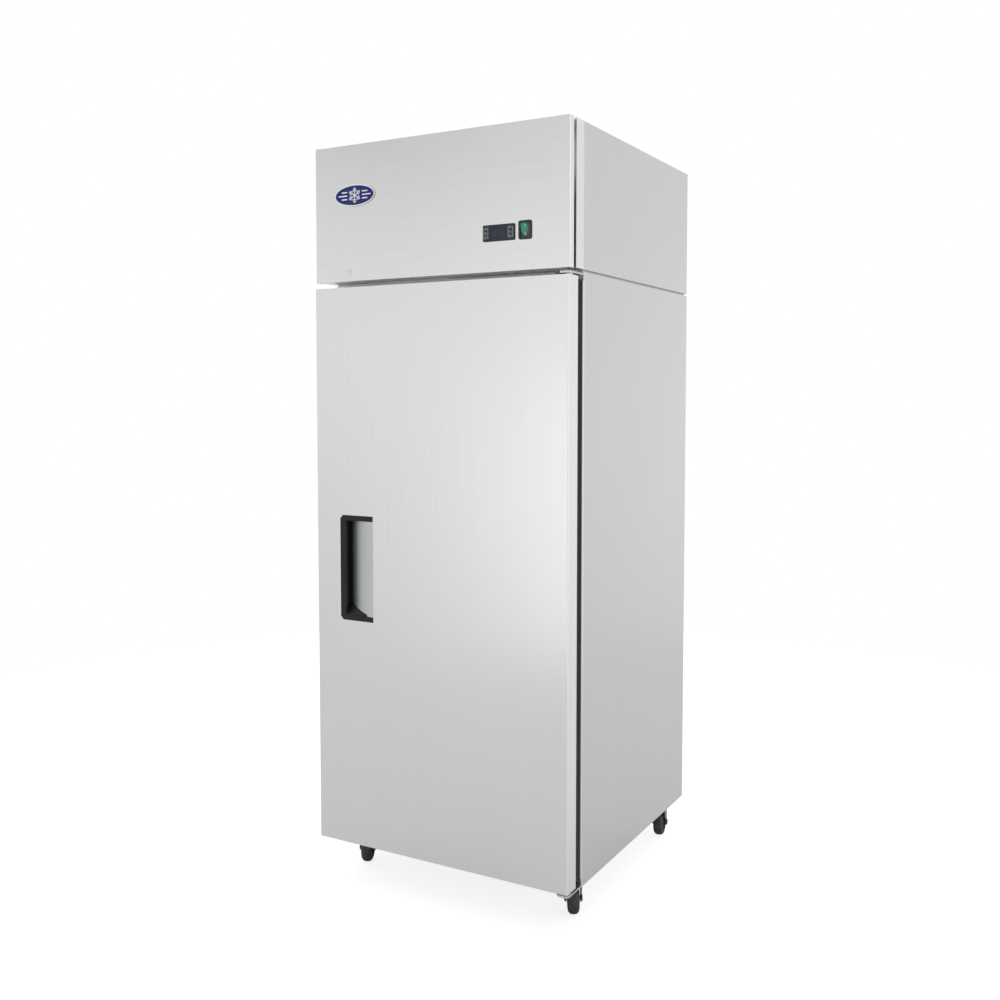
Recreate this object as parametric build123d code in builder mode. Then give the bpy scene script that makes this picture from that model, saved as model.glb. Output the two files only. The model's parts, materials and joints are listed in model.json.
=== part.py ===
from build123d import *
import os
from math import cos, radians, sin

# One-door reach-in refrigerator with its condensing unit on top, standing on four swivel casters.
# Frame: origin at the centre of the footprint on the floor, +X to the right, -Y out of the door, +Z up.

os.makedirs("parts", exist_ok=True)

# ---------------------------------------------------------------- driving dimensions, millimetres
width = 750
depth = 800
height = 1980
cabinet_bottom = 114  # underside of the insulated cabinet, on top of the casters
cabinet_top = 1624  # top edge of the cabinet's side panels
header_bottom = 1630  # lower edge of the machine compartment, above a shadow gap
door_bottom = 124
door_top = 1612
fascia_bottom = 1628
door_thickness = 49
cabinet_front = -317  # plane that the door gasket closes on
wall = 60  # insulated side and rear walls
floor_wall = 70  # insulated floor and ceiling
sheet = 1.2  # stainless sheet
foam_gap = 0.4  # joint between neighbouring foam slabs and skins

half_width = width / 2
front = -depth / 2
back = depth / 2
middle = (cabinet_bottom + cabinet_top) / 2

# inside of the food compartment
room_x = half_width - wall
room_bottom = cabinet_bottom + floor_wall
room_top = header_bottom - floor_wall
room_back = back - wall

# planes of the machine compartment
fascia_front = front + 4  # the controls stand out from here to the door's plane
fascia_back = fascia_front + 21
post_front = fascia_back + 14
post_back = cabinet_front - 2
rear_skin = back - 2  # screw heads reach the overall depth
grille_back = back - 12.8
deck_edge = half_width - 7

# door and fascia pivots
door_pivot_x = 362
door_pivot_y = -372
door_pin_radius = 4.5
fascia_pivot_y = -370
fascia_pivot_z = height - 8
fascia_pin_radius = 3
running_clearance = 0.05


def block(x, y, z, mode=Mode.ADD):
    """A box between two places along each axis."""
    with Locations((sum(x) / 2, sum(y) / 2, sum(z) / 2)):
        Box(abs(x[1] - x[0]), abs(y[1] - y[0]), abs(z[1] - z[0]), mode=mode)


def rod_x(x, y, z, radius, mode=Mode.ADD):
    """A cylinder along X between two places."""
    with Locations((sum(x) / 2, y, z)):
        Cylinder(radius, abs(x[1] - x[0]), rotation=(0, 90, 0), mode=mode)


def rod_y(x, y, z, radius, mode=Mode.ADD):
    """A cylinder along Y between two places."""
    with Locations((x, sum(y) / 2, z)):
        Cylinder(radius, abs(y[1] - y[0]), rotation=(90, 0, 0), mode=mode)


def rod_z(x, y, z, radius, mode=Mode.ADD):
    """A cylinder along Z between two places."""
    with Locations((x, y, sum(z) / 2)):
        Cylinder(radius, abs(z[1] - z[0]), mode=mode)


def upright_edges(part, x, y, count=1):
    """The vertical edges nearest to a place in plan."""
    return part.edges().filter_by(Axis.Z).sort_by_distance((x, y, middle))[:count]


# ---------------------------------------------------------------- cabinet shell
panel_return = 25  # front flange of a side panel
panel_bend = 5

for side, sign in (("left", -1), ("right", 1)):
    outside = sign * half_width
    with BuildPart() as side_panel:
        block((outside, outside - sign * sheet), (cabinet_front, back), (cabinet_bottom, cabinet_top))
        block(
            (outside, outside - sign * panel_return),
            (cabinet_front, cabinet_front + sheet),
            (cabinet_bottom, cabinet_top),
        )
        fillet(
            upright_edges(side_panel, outside - sign * sheet, cabinet_front + sheet),
            panel_bend - sheet,
        )
        fillet(upright_edges(side_panel, outside, cabinet_front), panel_bend)
    side_panel.part.label = f"{side}_side_panel"
    export_step(side_panel.part, f"parts/{side}_side_panel.step")

skin_x = half_width - sheet - foam_gap / 2  # skins between the side panels

with BuildPart() as rear_panel:
    block((-skin_x, skin_x), (rear_skin - sheet, rear_skin), (cabinet_bottom, cabinet_top))
    # pressed stiffening panel, sunk by half the sheet's thickness
    block(
        (-skin_x + 60, skin_x - 60),
        (rear_skin - sheet / 2, rear_skin),
        (cabinet_bottom + 90, cabinet_top - 90),
        mode=Mode.SUBTRACT,
    )
rear_panel.part.label = "rear_panel"
export_step(rear_panel.part, "parts/rear_panel.step")

pan_rim = 22

with BuildPart() as floor_pan:
    block(
        (-skin_x, skin_x),
        (cabinet_front + 6, rear_skin - sheet - foam_gap),
        (cabinet_bottom, cabinet_bottom + pan_rim),
    )
    block(
        (-skin_x + sheet, skin_x - sheet),
        (cabinet_front + 6 + sheet, rear_skin - 2 * sheet - foam_gap),
        (cabinet_bottom + sheet, cabinet_bottom + pan_rim),
        mode=Mode.SUBTRACT,
    )
floor_pan.part.label = "floor_pan"
export_step(floor_pan.part, "parts/floor_pan.step")

deck_rim = 6

with BuildPart() as top_deck:
    block(
        (-deck_edge, deck_edge),
        (cabinet_front + 6, rear_skin - sheet - foam_gap),
        (header_bottom - deck_rim, header_bottom),
    )
    block(
        (-deck_edge + sheet, deck_edge - sheet),
        (cabinet_front + 6 + sheet, rear_skin - 2 * sheet - foam_gap),
        (header_bottom - deck_rim, header_bottom - sheet),
        mode=Mode.SUBTRACT,
    )
top_deck.part.label = "top_deck"
export_step(top_deck.part, "parts/top_deck.step")

frame_depth = 5  # front frame that the gasket closes on
frame_x = half_width - panel_return - foam_gap

with BuildPart() as face_frame:
    block(
        (-frame_x, frame_x),
        (cabinet_front, cabinet_front + frame_depth),
        (cabinet_bottom + foam_gap, header_bottom - deck_rim - foam_gap),
    )
    block(
        (-room_x, room_x),
        (cabinet_front - 1, cabinet_front + frame_depth + 1),
        (room_bottom, room_top),
        mode=Mode.SUBTRACT,
    )
    upright_corners = face_frame.edges().filter_by(Axis.Y)
    fillet(upright_corners.sort_by_distance((0, cabinet_front, middle))[:4], 6)
face_frame.part.label = "face_frame"
export_step(face_frame.part, "parts/face_frame.step")

# ---------------------------------------------------------------- foam and inner liner
liner_sheet = 1.0
foam_front = cabinet_front + 6 + sheet + foam_gap
foam_back = rear_skin - 2 * sheet - 2 * foam_gap
foam_inner_x = room_x + liner_sheet
foam_outer_x = skin_x - sheet - foam_gap
foam_low = cabinet_bottom + sheet + foam_gap

with BuildPart() as cabinet_insulation:
    for sign in (-1, 1):
        block(
            (sign * (foam_inner_x + foam_gap), sign * foam_outer_x),
            (foam_front, foam_back),
            (foam_low, header_bottom - deck_rim - foam_gap),
        )
    block(
        (-foam_inner_x, foam_inner_x),
        (foam_front, foam_back),
        (foam_low, room_bottom - liner_sheet - foam_gap),
    )
    block(
        (-foam_inner_x, foam_inner_x),
        (foam_front, foam_back),
        (room_top + liner_sheet + foam_gap, header_bottom - sheet - foam_gap),
    )
    block(
        (-foam_inner_x, foam_inner_x),
        (room_back + liner_sheet + foam_gap, foam_back),
        (room_bottom - liner_sheet, room_top + liner_sheet),
    )
cabinet_insulation.part.label = "cabinet_insulation"
export_step(cabinet_insulation.part, "parts/cabinet_insulation.step")

liner_front = cabinet_front + frame_depth + foam_gap
liner_cove = 12  # rounded inner corners, for cleaning

with BuildPart() as inner_liner:
    block(
        (-room_x - liner_sheet, room_x + liner_sheet),
        (liner_front, room_back + liner_sheet),
        (room_bottom - liner_sheet, room_top + liner_sheet),
    )
    rear_corners = inner_liner.faces().sort_by(Axis.Y)[-1].edges()
    fillet(inner_liner.edges().filter_by(Axis.Y) + rear_corners, liner_cove)
    offset(amount=-liner_sheet, openings=inner_liner.faces().sort_by(Axis.Y)[0])
inner_liner.part.label = "inner_liner"
export_step(inner_liner.part, "parts/inner_liner.step")

# ---------------------------------------------------------------- shelves and their supports
shelf_heights = {"lower": 520, "middle": 850, "upper": 1180}
standard_y = (-215, 235)
standard_depth = 6
standard_width = 20
standard_bottom = room_bottom + 40
standard_top = 1340
slot_pitch = 50
slot_size = (8, 16)
clip_half = 7
clip_reach = 14
clip_drop = 16
clip_sheet = 3
rim_radius = 4
bar_radius = 3.7
wire_radius = 1.8
shelf_x = room_x - standard_depth - 6
shelf_front = -285
shelf_back = room_back - 38
wire_pitch = 26

with BuildPart() as shelf_standards:
    for sign in (-1, 1):
        for y in standard_y:
            block(
                (sign * room_x, sign * (room_x - standard_depth)),
                (y - standard_width / 2, y + standard_width / 2),
                (standard_bottom, standard_top),
            )
            # column of slots that the clips hook into
            with Locations((sign * (room_x - standard_depth), y, (standard_bottom + standard_top) / 2)):
                with Locations(*[(0, 0, slot_pitch * n) for n in range(-10, 11)]):
                    Box(2, *slot_size, mode=Mode.SUBTRACT)
    # one clip under each corner of each shelf, hooked on the standard's face
    for shelf_z in shelf_heights.values():
        for sign in (-1, 1):
            for y in standard_y:
                clip_face = sign * (room_x - standard_depth - 0.2)
                clip_tip = clip_face - sign * clip_reach
                clip_top = shelf_z - rim_radius
                clip_y = (y - clip_half, y + clip_half)
                block((clip_face, clip_tip), clip_y, (clip_top - clip_sheet, clip_top))
                clip_z = (clip_top - clip_drop, clip_top)
                block((clip_face, clip_face - sign * clip_sheet), clip_y, clip_z)
shelf_standards.part.label = "shelf_standards"
export_step(shelf_standards.part, "parts/shelf_standards.step")

wire_count = int((2 * shelf_x - 20) / wire_pitch)
rim_x = shelf_x - rim_radius
rim_front = shelf_front + rim_radius
rim_back = shelf_back - rim_radius

with BuildPart() as wire_grid:
    for sign in (-1, 1):
        rod_y(sign * rim_x, (shelf_front, shelf_back), 0, rim_radius)
    for y in (rim_front, (rim_front + rim_back) / 2, rim_back):
        rod_x((-rim_x, rim_x), y, 0, bar_radius)
    # thin wires lie across the bars, sunk a little into them where they are welded
    for n in range(wire_count + 1):
        x = (n - wire_count / 2) * wire_pitch
        rod_y(x, (shelf_front + 1, shelf_back - 1), rim_radius, wire_radius)

for name, shelf_z in shelf_heights.items():
    with BuildPart() as shelf:
        with Locations((0, 0, shelf_z)):
            add(wire_grid.part)
    shelf.part.label = f"shelf_{name}"
    export_step(shelf.part, f"parts/shelf_{name}.step")

# ---------------------------------------------------------------- evaporator at the top of the room
cover_x = 270
cover_front = 130
cover_bottom = 1400
cover_sheet = 1.5
cover_back = room_back - 4
cover_top = room_top - 4
evaporator_fan_z = (cover_bottom + cover_top) / 2
evaporator_opening = 66
evaporator_blade = 60
evaporator_shaft = 3
air_slot = (120, 5)
air_slot_x = 170
air_slot_pitch = 14

with BuildPart() as evaporator_cover:
    block((-cover_x, cover_x), (cover_front, cover_back), (cover_bottom, cover_top))
    fillet(evaporator_cover.faces().sort_by(Axis.Y)[0].edges().sort_by(Axis.Z)[0], 20)
    offset(
        amount=-cover_sheet,
        openings=[
            evaporator_cover.faces().sort_by(Axis.Z)[-1],
            evaporator_cover.faces().sort_by(Axis.Y)[-1],
        ],
    )
    fan_hole_y = (cover_front - 5, cover_front + 20)
    rod_y(0, fan_hole_y, evaporator_fan_z, evaporator_opening, mode=Mode.SUBTRACT)
    # air slots on both sides of the fan
    for x in (-air_slot_x, air_slot_x):
        with Locations((x, cover_front, evaporator_fan_z)):
            with Locations(*[(0, 0, air_slot_pitch * n) for n in range(-3, 4)]):
                Box(air_slot[0], 20, air_slot[1], mode=Mode.SUBTRACT)
evaporator_cover.part.label = "evaporator_cover"
export_step(evaporator_cover.part, "parts/evaporator_cover.step")

coil_x = 235
coil_front = 255
coil_back = 330
coil_bottom = 1415
coil_top = 1545
fin_pitch = 23.5
fin_thickness = 0.8
coil_tube_radius = 5
coil_tube_inset = 25

with BuildPart() as evaporator_coil:
    for n in range(-10, 11):
        x = n * fin_pitch
        block((x - fin_thickness, x + fin_thickness), (coil_front, coil_back), (coil_bottom, coil_top))
    for z in (coil_bottom + coil_tube_inset, evaporator_fan_z, coil_top - coil_tube_inset):
        for y in (coil_front + 20, coil_back - 20):
            rod_x((-coil_x - 12, coil_x + 12), y, z, coil_tube_radius)
evaporator_coil.part.label = "evaporator_coil"
export_step(evaporator_coil.part, "parts/evaporator_coil.step")

evaporator_plane = Plane(origin=(0, 165, evaporator_fan_z), x_dir=(1, 0, 0), z_dir=(0, -1, 0))
evaporator_motor = (32, 40)  # radius and length
bracket_span = 170
bracket_strip = (16, 3)
evaporator_hub = (17, 18)  # radius and length

with BuildPart(evaporator_plane) as evaporator_fan_motor:
    with Locations((0, 0, -45)):
        Cylinder(*evaporator_motor)
    fillet(evaporator_fan_motor.edges().filter_by(GeomType.CIRCLE), 4)
    with Locations((0, 0, -10)):
        Cylinder(evaporator_shaft, 34)
    # bracket: a crossbar behind the blade with two legs forward to the cover
    with Locations((0, 0, -26.5)):
        Box(bracket_span, *bracket_strip)
    for sign in (-1, 1):
        with Locations((sign * (bracket_span - bracket_strip[1]) / 2, 0, 2.5)):
            Box(bracket_strip[1], bracket_strip[0], 61)
evaporator_fan_motor.part.label = "evaporator_fan_motor"
export_step(evaporator_fan_motor.part, "parts/evaporator_fan_motor.step")

with BuildPart(evaporator_plane) as evaporator_fan_blade:
    with Locations((0, 0, 5)):
        Cylinder(*evaporator_hub)
    with PolarLocations(36, 5):
        with Locations((0, 0, 5)):
            Box(46, 34, 1.6, rotation=(24, 0, 0))
    with Locations((0, 0, 5)):
        Cylinder(evaporator_blade, 30, mode=Mode.INTERSECT)
    with Locations((0, 0, 5)):
        Cylinder(evaporator_shaft + running_clearance, 40, mode=Mode.SUBTRACT)
evaporator_fan_blade.part.label = "evaporator_fan_blade"
export_step(evaporator_fan_blade.part, "parts/evaporator_fan_blade.step")

# ---------------------------------------------------------------- machine compartment
post_width = 30
post_sheet = 1.5
rail_height = 26
rail_depth = 24
header_top = height

with BuildPart() as header_frame:
    for sign in (-1, 1):
        outside = sign * half_width
        inside = sign * (half_width - post_width)
        block((outside, inside), (post_front, post_back), (header_bottom, header_top))
        block(
            (outside - sign * post_sheet, inside + sign * post_sheet),
            (post_front + post_sheet, post_back - post_sheet),
            (header_bottom + post_sheet, header_top - post_sheet),
            mode=Mode.SUBTRACT,
        )
    rail_x = half_width - post_width
    for low in (header_bottom, header_top - rail_height):
        block((-rail_x, rail_x), (post_back - rail_depth, post_back), (low, low + rail_height))
        block(
            (-rail_x, rail_x),
            (post_back - rail_depth + post_sheet, post_back - post_sheet),
            (low + post_sheet, low + rail_height - post_sheet),
            mode=Mode.SUBTRACT,
        )
    # ears and pins that the fascia hangs on
    for sign in (-1, 1):
        block(
            (sign * (rail_x - 4), sign * rail_x),
            (fascia_pivot_y - 6, post_front + 2),
            (fascia_pivot_z - 6, fascia_pivot_z + 6),
        )
        rod_x((sign * rail_x, sign * (rail_x + 9)), fascia_pivot_y, fascia_pivot_z, fascia_pin_radius)
        block(
            (sign * (rail_x - 4), sign * (rail_x + 8)),
            (post_front, post_front + 3),
            (fascia_pivot_z - 7, fascia_pivot_z + 7),
        )
header_frame.part.label = "header_frame"
export_step(header_frame.part, "parts/header_frame.step")

header_return = 18
header_panel_front = post_back + foam_gap

for side, sign in (("left", -1), ("right", 1)):
    outside = sign * half_width
    with BuildPart() as header_panel:
        panel_y = (header_panel_front, rear_skin)
        block((outside, outside - sign * sheet), panel_y, (header_bottom, header_top))
        for low in (header_bottom, header_top - sheet):
            block((outside, outside - sign * header_return), panel_y, (low, low + sheet))
    header_panel.part.label = f"header_{side}_panel"
    export_step(header_panel.part, f"parts/header_{side}_panel.step")

grille_x = half_width - sheet - 0.5
louvre_rows = 11
louvre_pitch = 24
louvre_size = (140, 8)
gland_x = 250
gland_z = 1658
gland_radius = 9
cord_radius = 4.5

with BuildPart() as header_rear_grille:
    block(
        (-grille_x, grille_x),
        (grille_back - sheet, grille_back),
        (header_bottom + sheet + 0.3, header_top - sheet - 0.3),
    )
    with BuildSketch(Plane.XZ.offset(-grille_back)) as louvres:
        with Locations((0, (header_bottom + header_top) / 2 + 22)):
            with GridLocations(165, louvre_pitch, 4, louvre_rows):
                SlotOverall(*louvre_size)
    extrude(amount=4, both=True, mode=Mode.SUBTRACT)
    rod_y(gland_x, (grille_back - 5, grille_back + 5), gland_z, gland_radius + 0.5, mode=Mode.SUBTRACT)
header_rear_grille.part.label = "header_rear_grille"
export_step(header_rear_grille.part, "parts/header_rear_grille.step")

# hermetic compressor on rubber grommets
compressor_x = -160
compressor_y = 60
grommet_height = 12
shell_bottom = header_bottom + grommet_height + 3
shell_height = 165
shell_radii = (78, 66)
weld_lip = 4
mount_plate = (88, 55)  # half length and half width
grommet_pitch = (156, 90)
grommet_radius = 9
terminal_x = (compressor_x - 24, compressor_x + 24)
terminal_y = (compressor_y - 88, compressor_y - 50)
stub_top = shell_bottom + shell_height + 20
stub_radius = 5
stub_offset = 30

with BuildPart() as compressor:
    with BuildSketch(Plane.XY.offset(shell_bottom)) as shell_plan:
        with Locations((compressor_x, compressor_y)):
            Ellipse(*shell_radii)
    extrude(amount=shell_height)
    fillet(compressor.edges().group_by(Axis.Z)[-1], 40)
    with BuildSketch(Plane.XY.offset(shell_bottom + 85)) as weld_flange:
        with Locations((compressor_x, compressor_y)):
            Ellipse(shell_radii[0] + weld_lip, shell_radii[1] + weld_lip)
    extrude(amount=5)
    block(
        (compressor_x - mount_plate[0], compressor_x + mount_plate[0]),
        (compressor_y - mount_plate[1], compressor_y + mount_plate[1]),
        (shell_bottom - 3, shell_bottom),
    )
    with Locations((compressor_x, compressor_y, header_bottom + grommet_height / 2)):
        with GridLocations(*grommet_pitch, 2, 2):
            Cylinder(grommet_radius, grommet_height)
    for x in (compressor_x - stub_offset, compressor_x + stub_offset):
        rod_z(x, compressor_y, (shell_bottom + shell_height - 30, stub_top), stub_radius)
    # cover of the electric terminals
    block(terminal_x, terminal_y, (shell_bottom + 22, shell_bottom + 78))
compressor.part.label = "compressor"
export_step(compressor.part, "parts/compressor.step")

# condenser coil with its fan shroud
condenser_left = 10
condenser_right = 310
condenser_front = -262
shroud_front = -202
shroud_back = -200
condenser_bottom = header_bottom + 2
condenser_top = 1900
condenser_fan_x = (condenser_left + condenser_right) / 2
condenser_fan_z = 1768
shroud_opening = 116
stub_x = condenser_left - 22
upper_stub_z = condenser_top - 30
lower_stub_z = condenser_bottom + 30
stub_y = condenser_front + 18
tube_rows = 6
fin_count = 19

with BuildPart() as condenser_coil:
    for x in (condenser_left, condenser_right):
        block((x - 1, x + 1), (condenser_front, shroud_back), (condenser_bottom, condenser_top))
    fin_y = (condenser_front, shroud_front - 4)
    fin_z = (condenser_bottom + 6, condenser_top - 6)
    for n in range(1, fin_count + 1):
        x = condenser_left + n * (condenser_right - condenser_left) / (fin_count + 1)
        block((x - 0.5, x + 0.5), fin_y, fin_z)
    for n in range(tube_rows):
        z = lower_stub_z + n * (upper_stub_z - lower_stub_z) / (tube_rows - 1)
        for y in (stub_y, stub_y + 24):
            rod_x((condenser_left - 8, condenser_right + 8), y, z, 4.5)
    for z in (lower_stub_z, upper_stub_z):
        rod_x((stub_x, condenser_left), stub_y, z, stub_radius)
    block(
        (condenser_left, condenser_right),
        (shroud_front, shroud_back),
        (condenser_bottom, condenser_top),
    )
    shroud_y = (shroud_front - 1, shroud_back + 1)
    rod_y(condenser_fan_x, shroud_y, condenser_fan_z, shroud_opening, mode=Mode.SUBTRACT)
condenser_coil.part.label = "condenser_coil"
export_step(condenser_coil.part, "parts/condenser_coil.step")

condenser_shaft = 4
condenser_plane = Plane(
    origin=(condenser_fan_x, -170, condenser_fan_z), x_dir=(1, 0, 0), z_dir=(0, -1, 0)
)
condenser_motor = (38, 44)  # radius and length
condenser_hub = (24, 24)  # radius and length
condenser_blade = 108
leg_radius = shroud_opening + 12
leg_length = 80
strap_width = 18

with BuildPart(condenser_plane) as condenser_fan_motor:
    with Locations((0, 0, -72)):
        Cylinder(*condenser_motor)
    fillet(condenser_fan_motor.edges().filter_by(GeomType.CIRCLE), 5)
    with Locations((0, 0, -28)):
        Cylinder(condenser_shaft, 50)
    # two crossed straps carry the motor, and four legs reach forward to the shroud
    with PolarLocations(0, 2, start_angle=45, angular_range=90, endpoint=True):
        with Locations((0, 0, -48.5)):
            Box(2 * leg_radius, strap_width, 3)
    with PolarLocations(leg_radius - 2, 4, start_angle=45):
        with Locations((0, 0, 30 - leg_length / 2)):
            Box(4, strap_width, leg_length)
condenser_fan_motor.part.label = "condenser_fan_motor"
export_step(condenser_fan_motor.part, "parts/condenser_fan_motor.step")

with BuildPart(condenser_plane) as condenser_fan_blade:
    Cylinder(*condenser_hub)
    with PolarLocations(63, 5):
        Box(88, 58, 2, rotation=(26, 0, 0))
    Cylinder(condenser_blade, 40, mode=Mode.INTERSECT)
    Cylinder(condenser_shaft + running_clearance, 60, mode=Mode.SUBTRACT)
condenser_fan_blade.part.label = "condenser_fan_blade"
export_step(condenser_fan_blade.part, "parts/condenser_fan_blade.step")

# copper lines: discharge to the condenser, liquid line with its drier, and suction
drier_y = (-120, 0)
drier_radius = 13
pipe_back = 220
liquid_x = -48
discharge_points = (
    (compressor_x + stub_offset, compressor_y, stub_top),
    (compressor_x + stub_offset, compressor_y, upper_stub_z),
    (compressor_x + stub_offset, stub_y, upper_stub_z),
    (stub_x, stub_y, upper_stub_z),
)
liquid_points = (
    (stub_x, stub_y, lower_stub_z),
    (liquid_x, stub_y, lower_stub_z),
    (liquid_x, pipe_back, lower_stub_z),
    (liquid_x, pipe_back, header_bottom),
)
suction_points = (
    (compressor_x - stub_offset, compressor_y, stub_top),
    (compressor_x - stub_offset, compressor_y, stub_top + 45),
    (compressor_x - stub_offset, pipe_back, stub_top + 45),
    (compressor_x - stub_offset, pipe_back, header_bottom),
)

with BuildPart() as refrigerant_pipes:
    for points, bend, radius in (
        (discharge_points, 20, 4),
        (liquid_points, 14, 4),
        (suction_points, 22, stub_radius),
    ):
        with BuildLine() as route:
            FilletPolyline(*points, radius=bend)
        with BuildSketch(Plane(origin=route.line @ 0, z_dir=route.line % 0)) as bore:
            Circle(radius)
        sweep(path=route.line)
    rod_y(liquid_x, drier_y, lower_stub_z, drier_radius)
    round_edges = refrigerant_pipes.edges().filter_by(GeomType.CIRCLE)
    fillet(round_edges.filter_by(lambda edge: abs(edge.radius - drier_radius) < 0.1), 8)
refrigerant_pipes.part.label = "refrigerant_pipes"
export_step(refrigerant_pipes.part, "parts/refrigerant_pipes.step")

box_x = (170, 330)
box_y = (270, grille_back - sheet - 12)
box_top = header_bottom + 95
lid_lip = 4

with BuildPart() as electrical_box:
    block(box_x, box_y, (header_bottom, box_top))
    fillet(electrical_box.edges().filter_by(Axis.Z), 5)
    block(
        (box_x[0] - lid_lip, box_x[1] + lid_lip),
        (box_y[0] - lid_lip, box_y[1] + lid_lip),
        (box_top, box_top + 4),
    )
electrical_box.part.label = "electrical_box"
export_step(electrical_box.part, "parts/electrical_box.step")

with BuildPart() as cord_gland:
    rod_y(gland_x, (grille_back - sheet - 8, grille_back), gland_z, gland_radius)
    rod_y(gland_x, (grille_back, grille_back + 4), gland_z, gland_radius + 5)
    with BuildSketch(Plane.XZ.offset(-(grille_back + 12))) as gland_nut:
        with Locations((gland_x, gland_z)):
            RegularPolygon(12, 6)
    extrude(amount=8)
    rod_y(gland_x, (grille_back - sheet - 9, grille_back + 13), gland_z, cord_radius, mode=Mode.SUBTRACT)
cord_gland.part.label = "cord_gland"
export_step(cord_gland.part, "parts/cord_gland.step")

# ---------------------------------------------------------------- hinged fascia and its controls
lock_x = -272
lock_z = 1653
barrel_radius = 9
cam_length = 50
cam_back = fascia_front + 19.4
controller_x = 185
controller_z = 1721
controller_cutout = (72, 30)
switch_x = 257
switch_z = 1723
switch_cutout = (30.4, 40.4)
lug_thickness = 4
lug_radius = 6
lug_bore = fascia_pin_radius + running_clearance
lug_inner = rail_x + 1

with BuildPart() as fascia_panel:
    block((-half_width, half_width), (fascia_front, fascia_back), (fascia_bottom, header_top))
    for sign in (-1, 1):
        fillet(upright_edges(fascia_panel, sign * half_width, fascia_front), 2.5)
    block(
        (-half_width + sheet, half_width - sheet),
        (fascia_front + sheet, fascia_back),
        (fascia_bottom + sheet, header_top - sheet),
        mode=Mode.SUBTRACT,
    )
    # lugs that turn on the header's pins
    for sign in (-1, 1):
        lug_x = (sign * lug_inner, sign * (lug_inner + lug_thickness))
        lug_z = (fascia_pivot_z - lug_radius, header_top - sheet / 2)
        block(lug_x, (fascia_front + sheet / 2, fascia_pivot_y), lug_z)
        rod_x(lug_x, fascia_pivot_y, fascia_pivot_z, lug_radius)
        rod_x(lug_x, fascia_pivot_y, fascia_pivot_z, lug_bore, mode=Mode.SUBTRACT)
    # cut-outs for the controller, the switch and the lock, and the cam's slot in the lower flange
    block(
        (controller_x - controller_cutout[0] / 2, controller_x + controller_cutout[0] / 2),
        (fascia_front - 1, fascia_front + 3),
        (controller_z - controller_cutout[1] / 2, controller_z + controller_cutout[1] / 2),
        mode=Mode.SUBTRACT,
    )
    block(
        (switch_x - switch_cutout[0] / 2, switch_x + switch_cutout[0] / 2),
        (fascia_front - 1, fascia_front + 3),
        (switch_z - switch_cutout[1] / 2, switch_z + switch_cutout[1] / 2),
        mode=Mode.SUBTRACT,
    )
    rod_y(lock_x, (fascia_front - 1, fascia_front + 3), lock_z, barrel_radius + 0.1, mode=Mode.SUBTRACT)
    block(
        (lock_x - 12, lock_x + cam_length + 6),
        (cam_back - 6, fascia_back + 1),
        (fascia_bottom - 1, fascia_bottom + 3),
        mode=Mode.SUBTRACT,
    )
fascia_panel.part.label = "fascia_panel"
export_step(fascia_panel.part, "parts/fascia_panel.step")

bezel_thickness = 3
bezel_size = (89, 40)
window_size = (47, 28)
key_size = (11, 7.4)
key_pitch = 10.5
key_columns = {"left": controller_x - 36, "right": controller_x + 33}
key_rows = {"top": controller_z + key_pitch, "middle": controller_z, "bottom": controller_z - key_pitch}
key_stand = 0.8
key_travel = 0.7
key_gap = 0.3
key_pocket = 2
key_sunk = key_pocket - key_travel - 0.2
bezel_front = fascia_front - bezel_thickness

with BuildPart() as controller_housing:
    with BuildSketch(Plane.XZ.offset(-fascia_front)) as bezel:
        with Locations((controller_x, controller_z)):
            RectangleRounded(*bezel_size, 4)
    extrude(amount=bezel_thickness)
    fillet(controller_housing.faces().sort_by(Axis.Y)[0].edges(), 1.2)
    block(
        (controller_x - controller_cutout[0] / 2 + 0.3, controller_x + controller_cutout[0] / 2 - 0.3),
        (fascia_front, fascia_front + 46),
        (controller_z - controller_cutout[1] / 2 + 0.3, controller_z + controller_cutout[1] / 2 - 0.3),
    )
    # sunk display window and the pockets that the keys slide in
    block(
        (controller_x - window_size[0] / 2, controller_x + window_size[0] / 2),
        (bezel_front - 1, bezel_front + 1),
        (controller_z - window_size[1] / 2, controller_z + window_size[1] / 2),
        mode=Mode.SUBTRACT,
    )
    for x in key_columns.values():
        for z in key_rows.values():
            block(
                (x - key_size[0] / 2 - key_gap, x + key_size[0] / 2 + key_gap),
                (bezel_front - 1, bezel_front + key_pocket),
                (z - key_size[1] / 2 - key_gap, z + key_size[1] / 2 + key_gap),
                mode=Mode.SUBTRACT,
            )
controller_housing.part.label = "controller_housing"
export_step(controller_housing.part, "parts/controller_housing.step")

for column, x in key_columns.items():
    for row, z in key_rows.items():
        with BuildPart() as key:
            with BuildSketch(Plane.XZ.offset(-(bezel_front + key_sunk))) as key_plan:
                with Locations((x, z)):
                    RectangleRounded(*key_size, 1.6)
            extrude(amount=key_sunk + key_stand)
            fillet(key.faces().sort_by(Axis.Y)[0].edges(), 0.4)
        key.part.label = f"key_{column}_{row}"
        export_step(key.part, f"parts/key_{column}_{row}.step")

switch_bezel = (36.5, 45.5)
switch_bezel_thickness = 2.5
switch_depth = 26
rocker_half = (12, 17)
rocker_pivot_y = fascia_front + 3.4
rocker_tilt = 6
rocker_pin = 1.5

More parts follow.
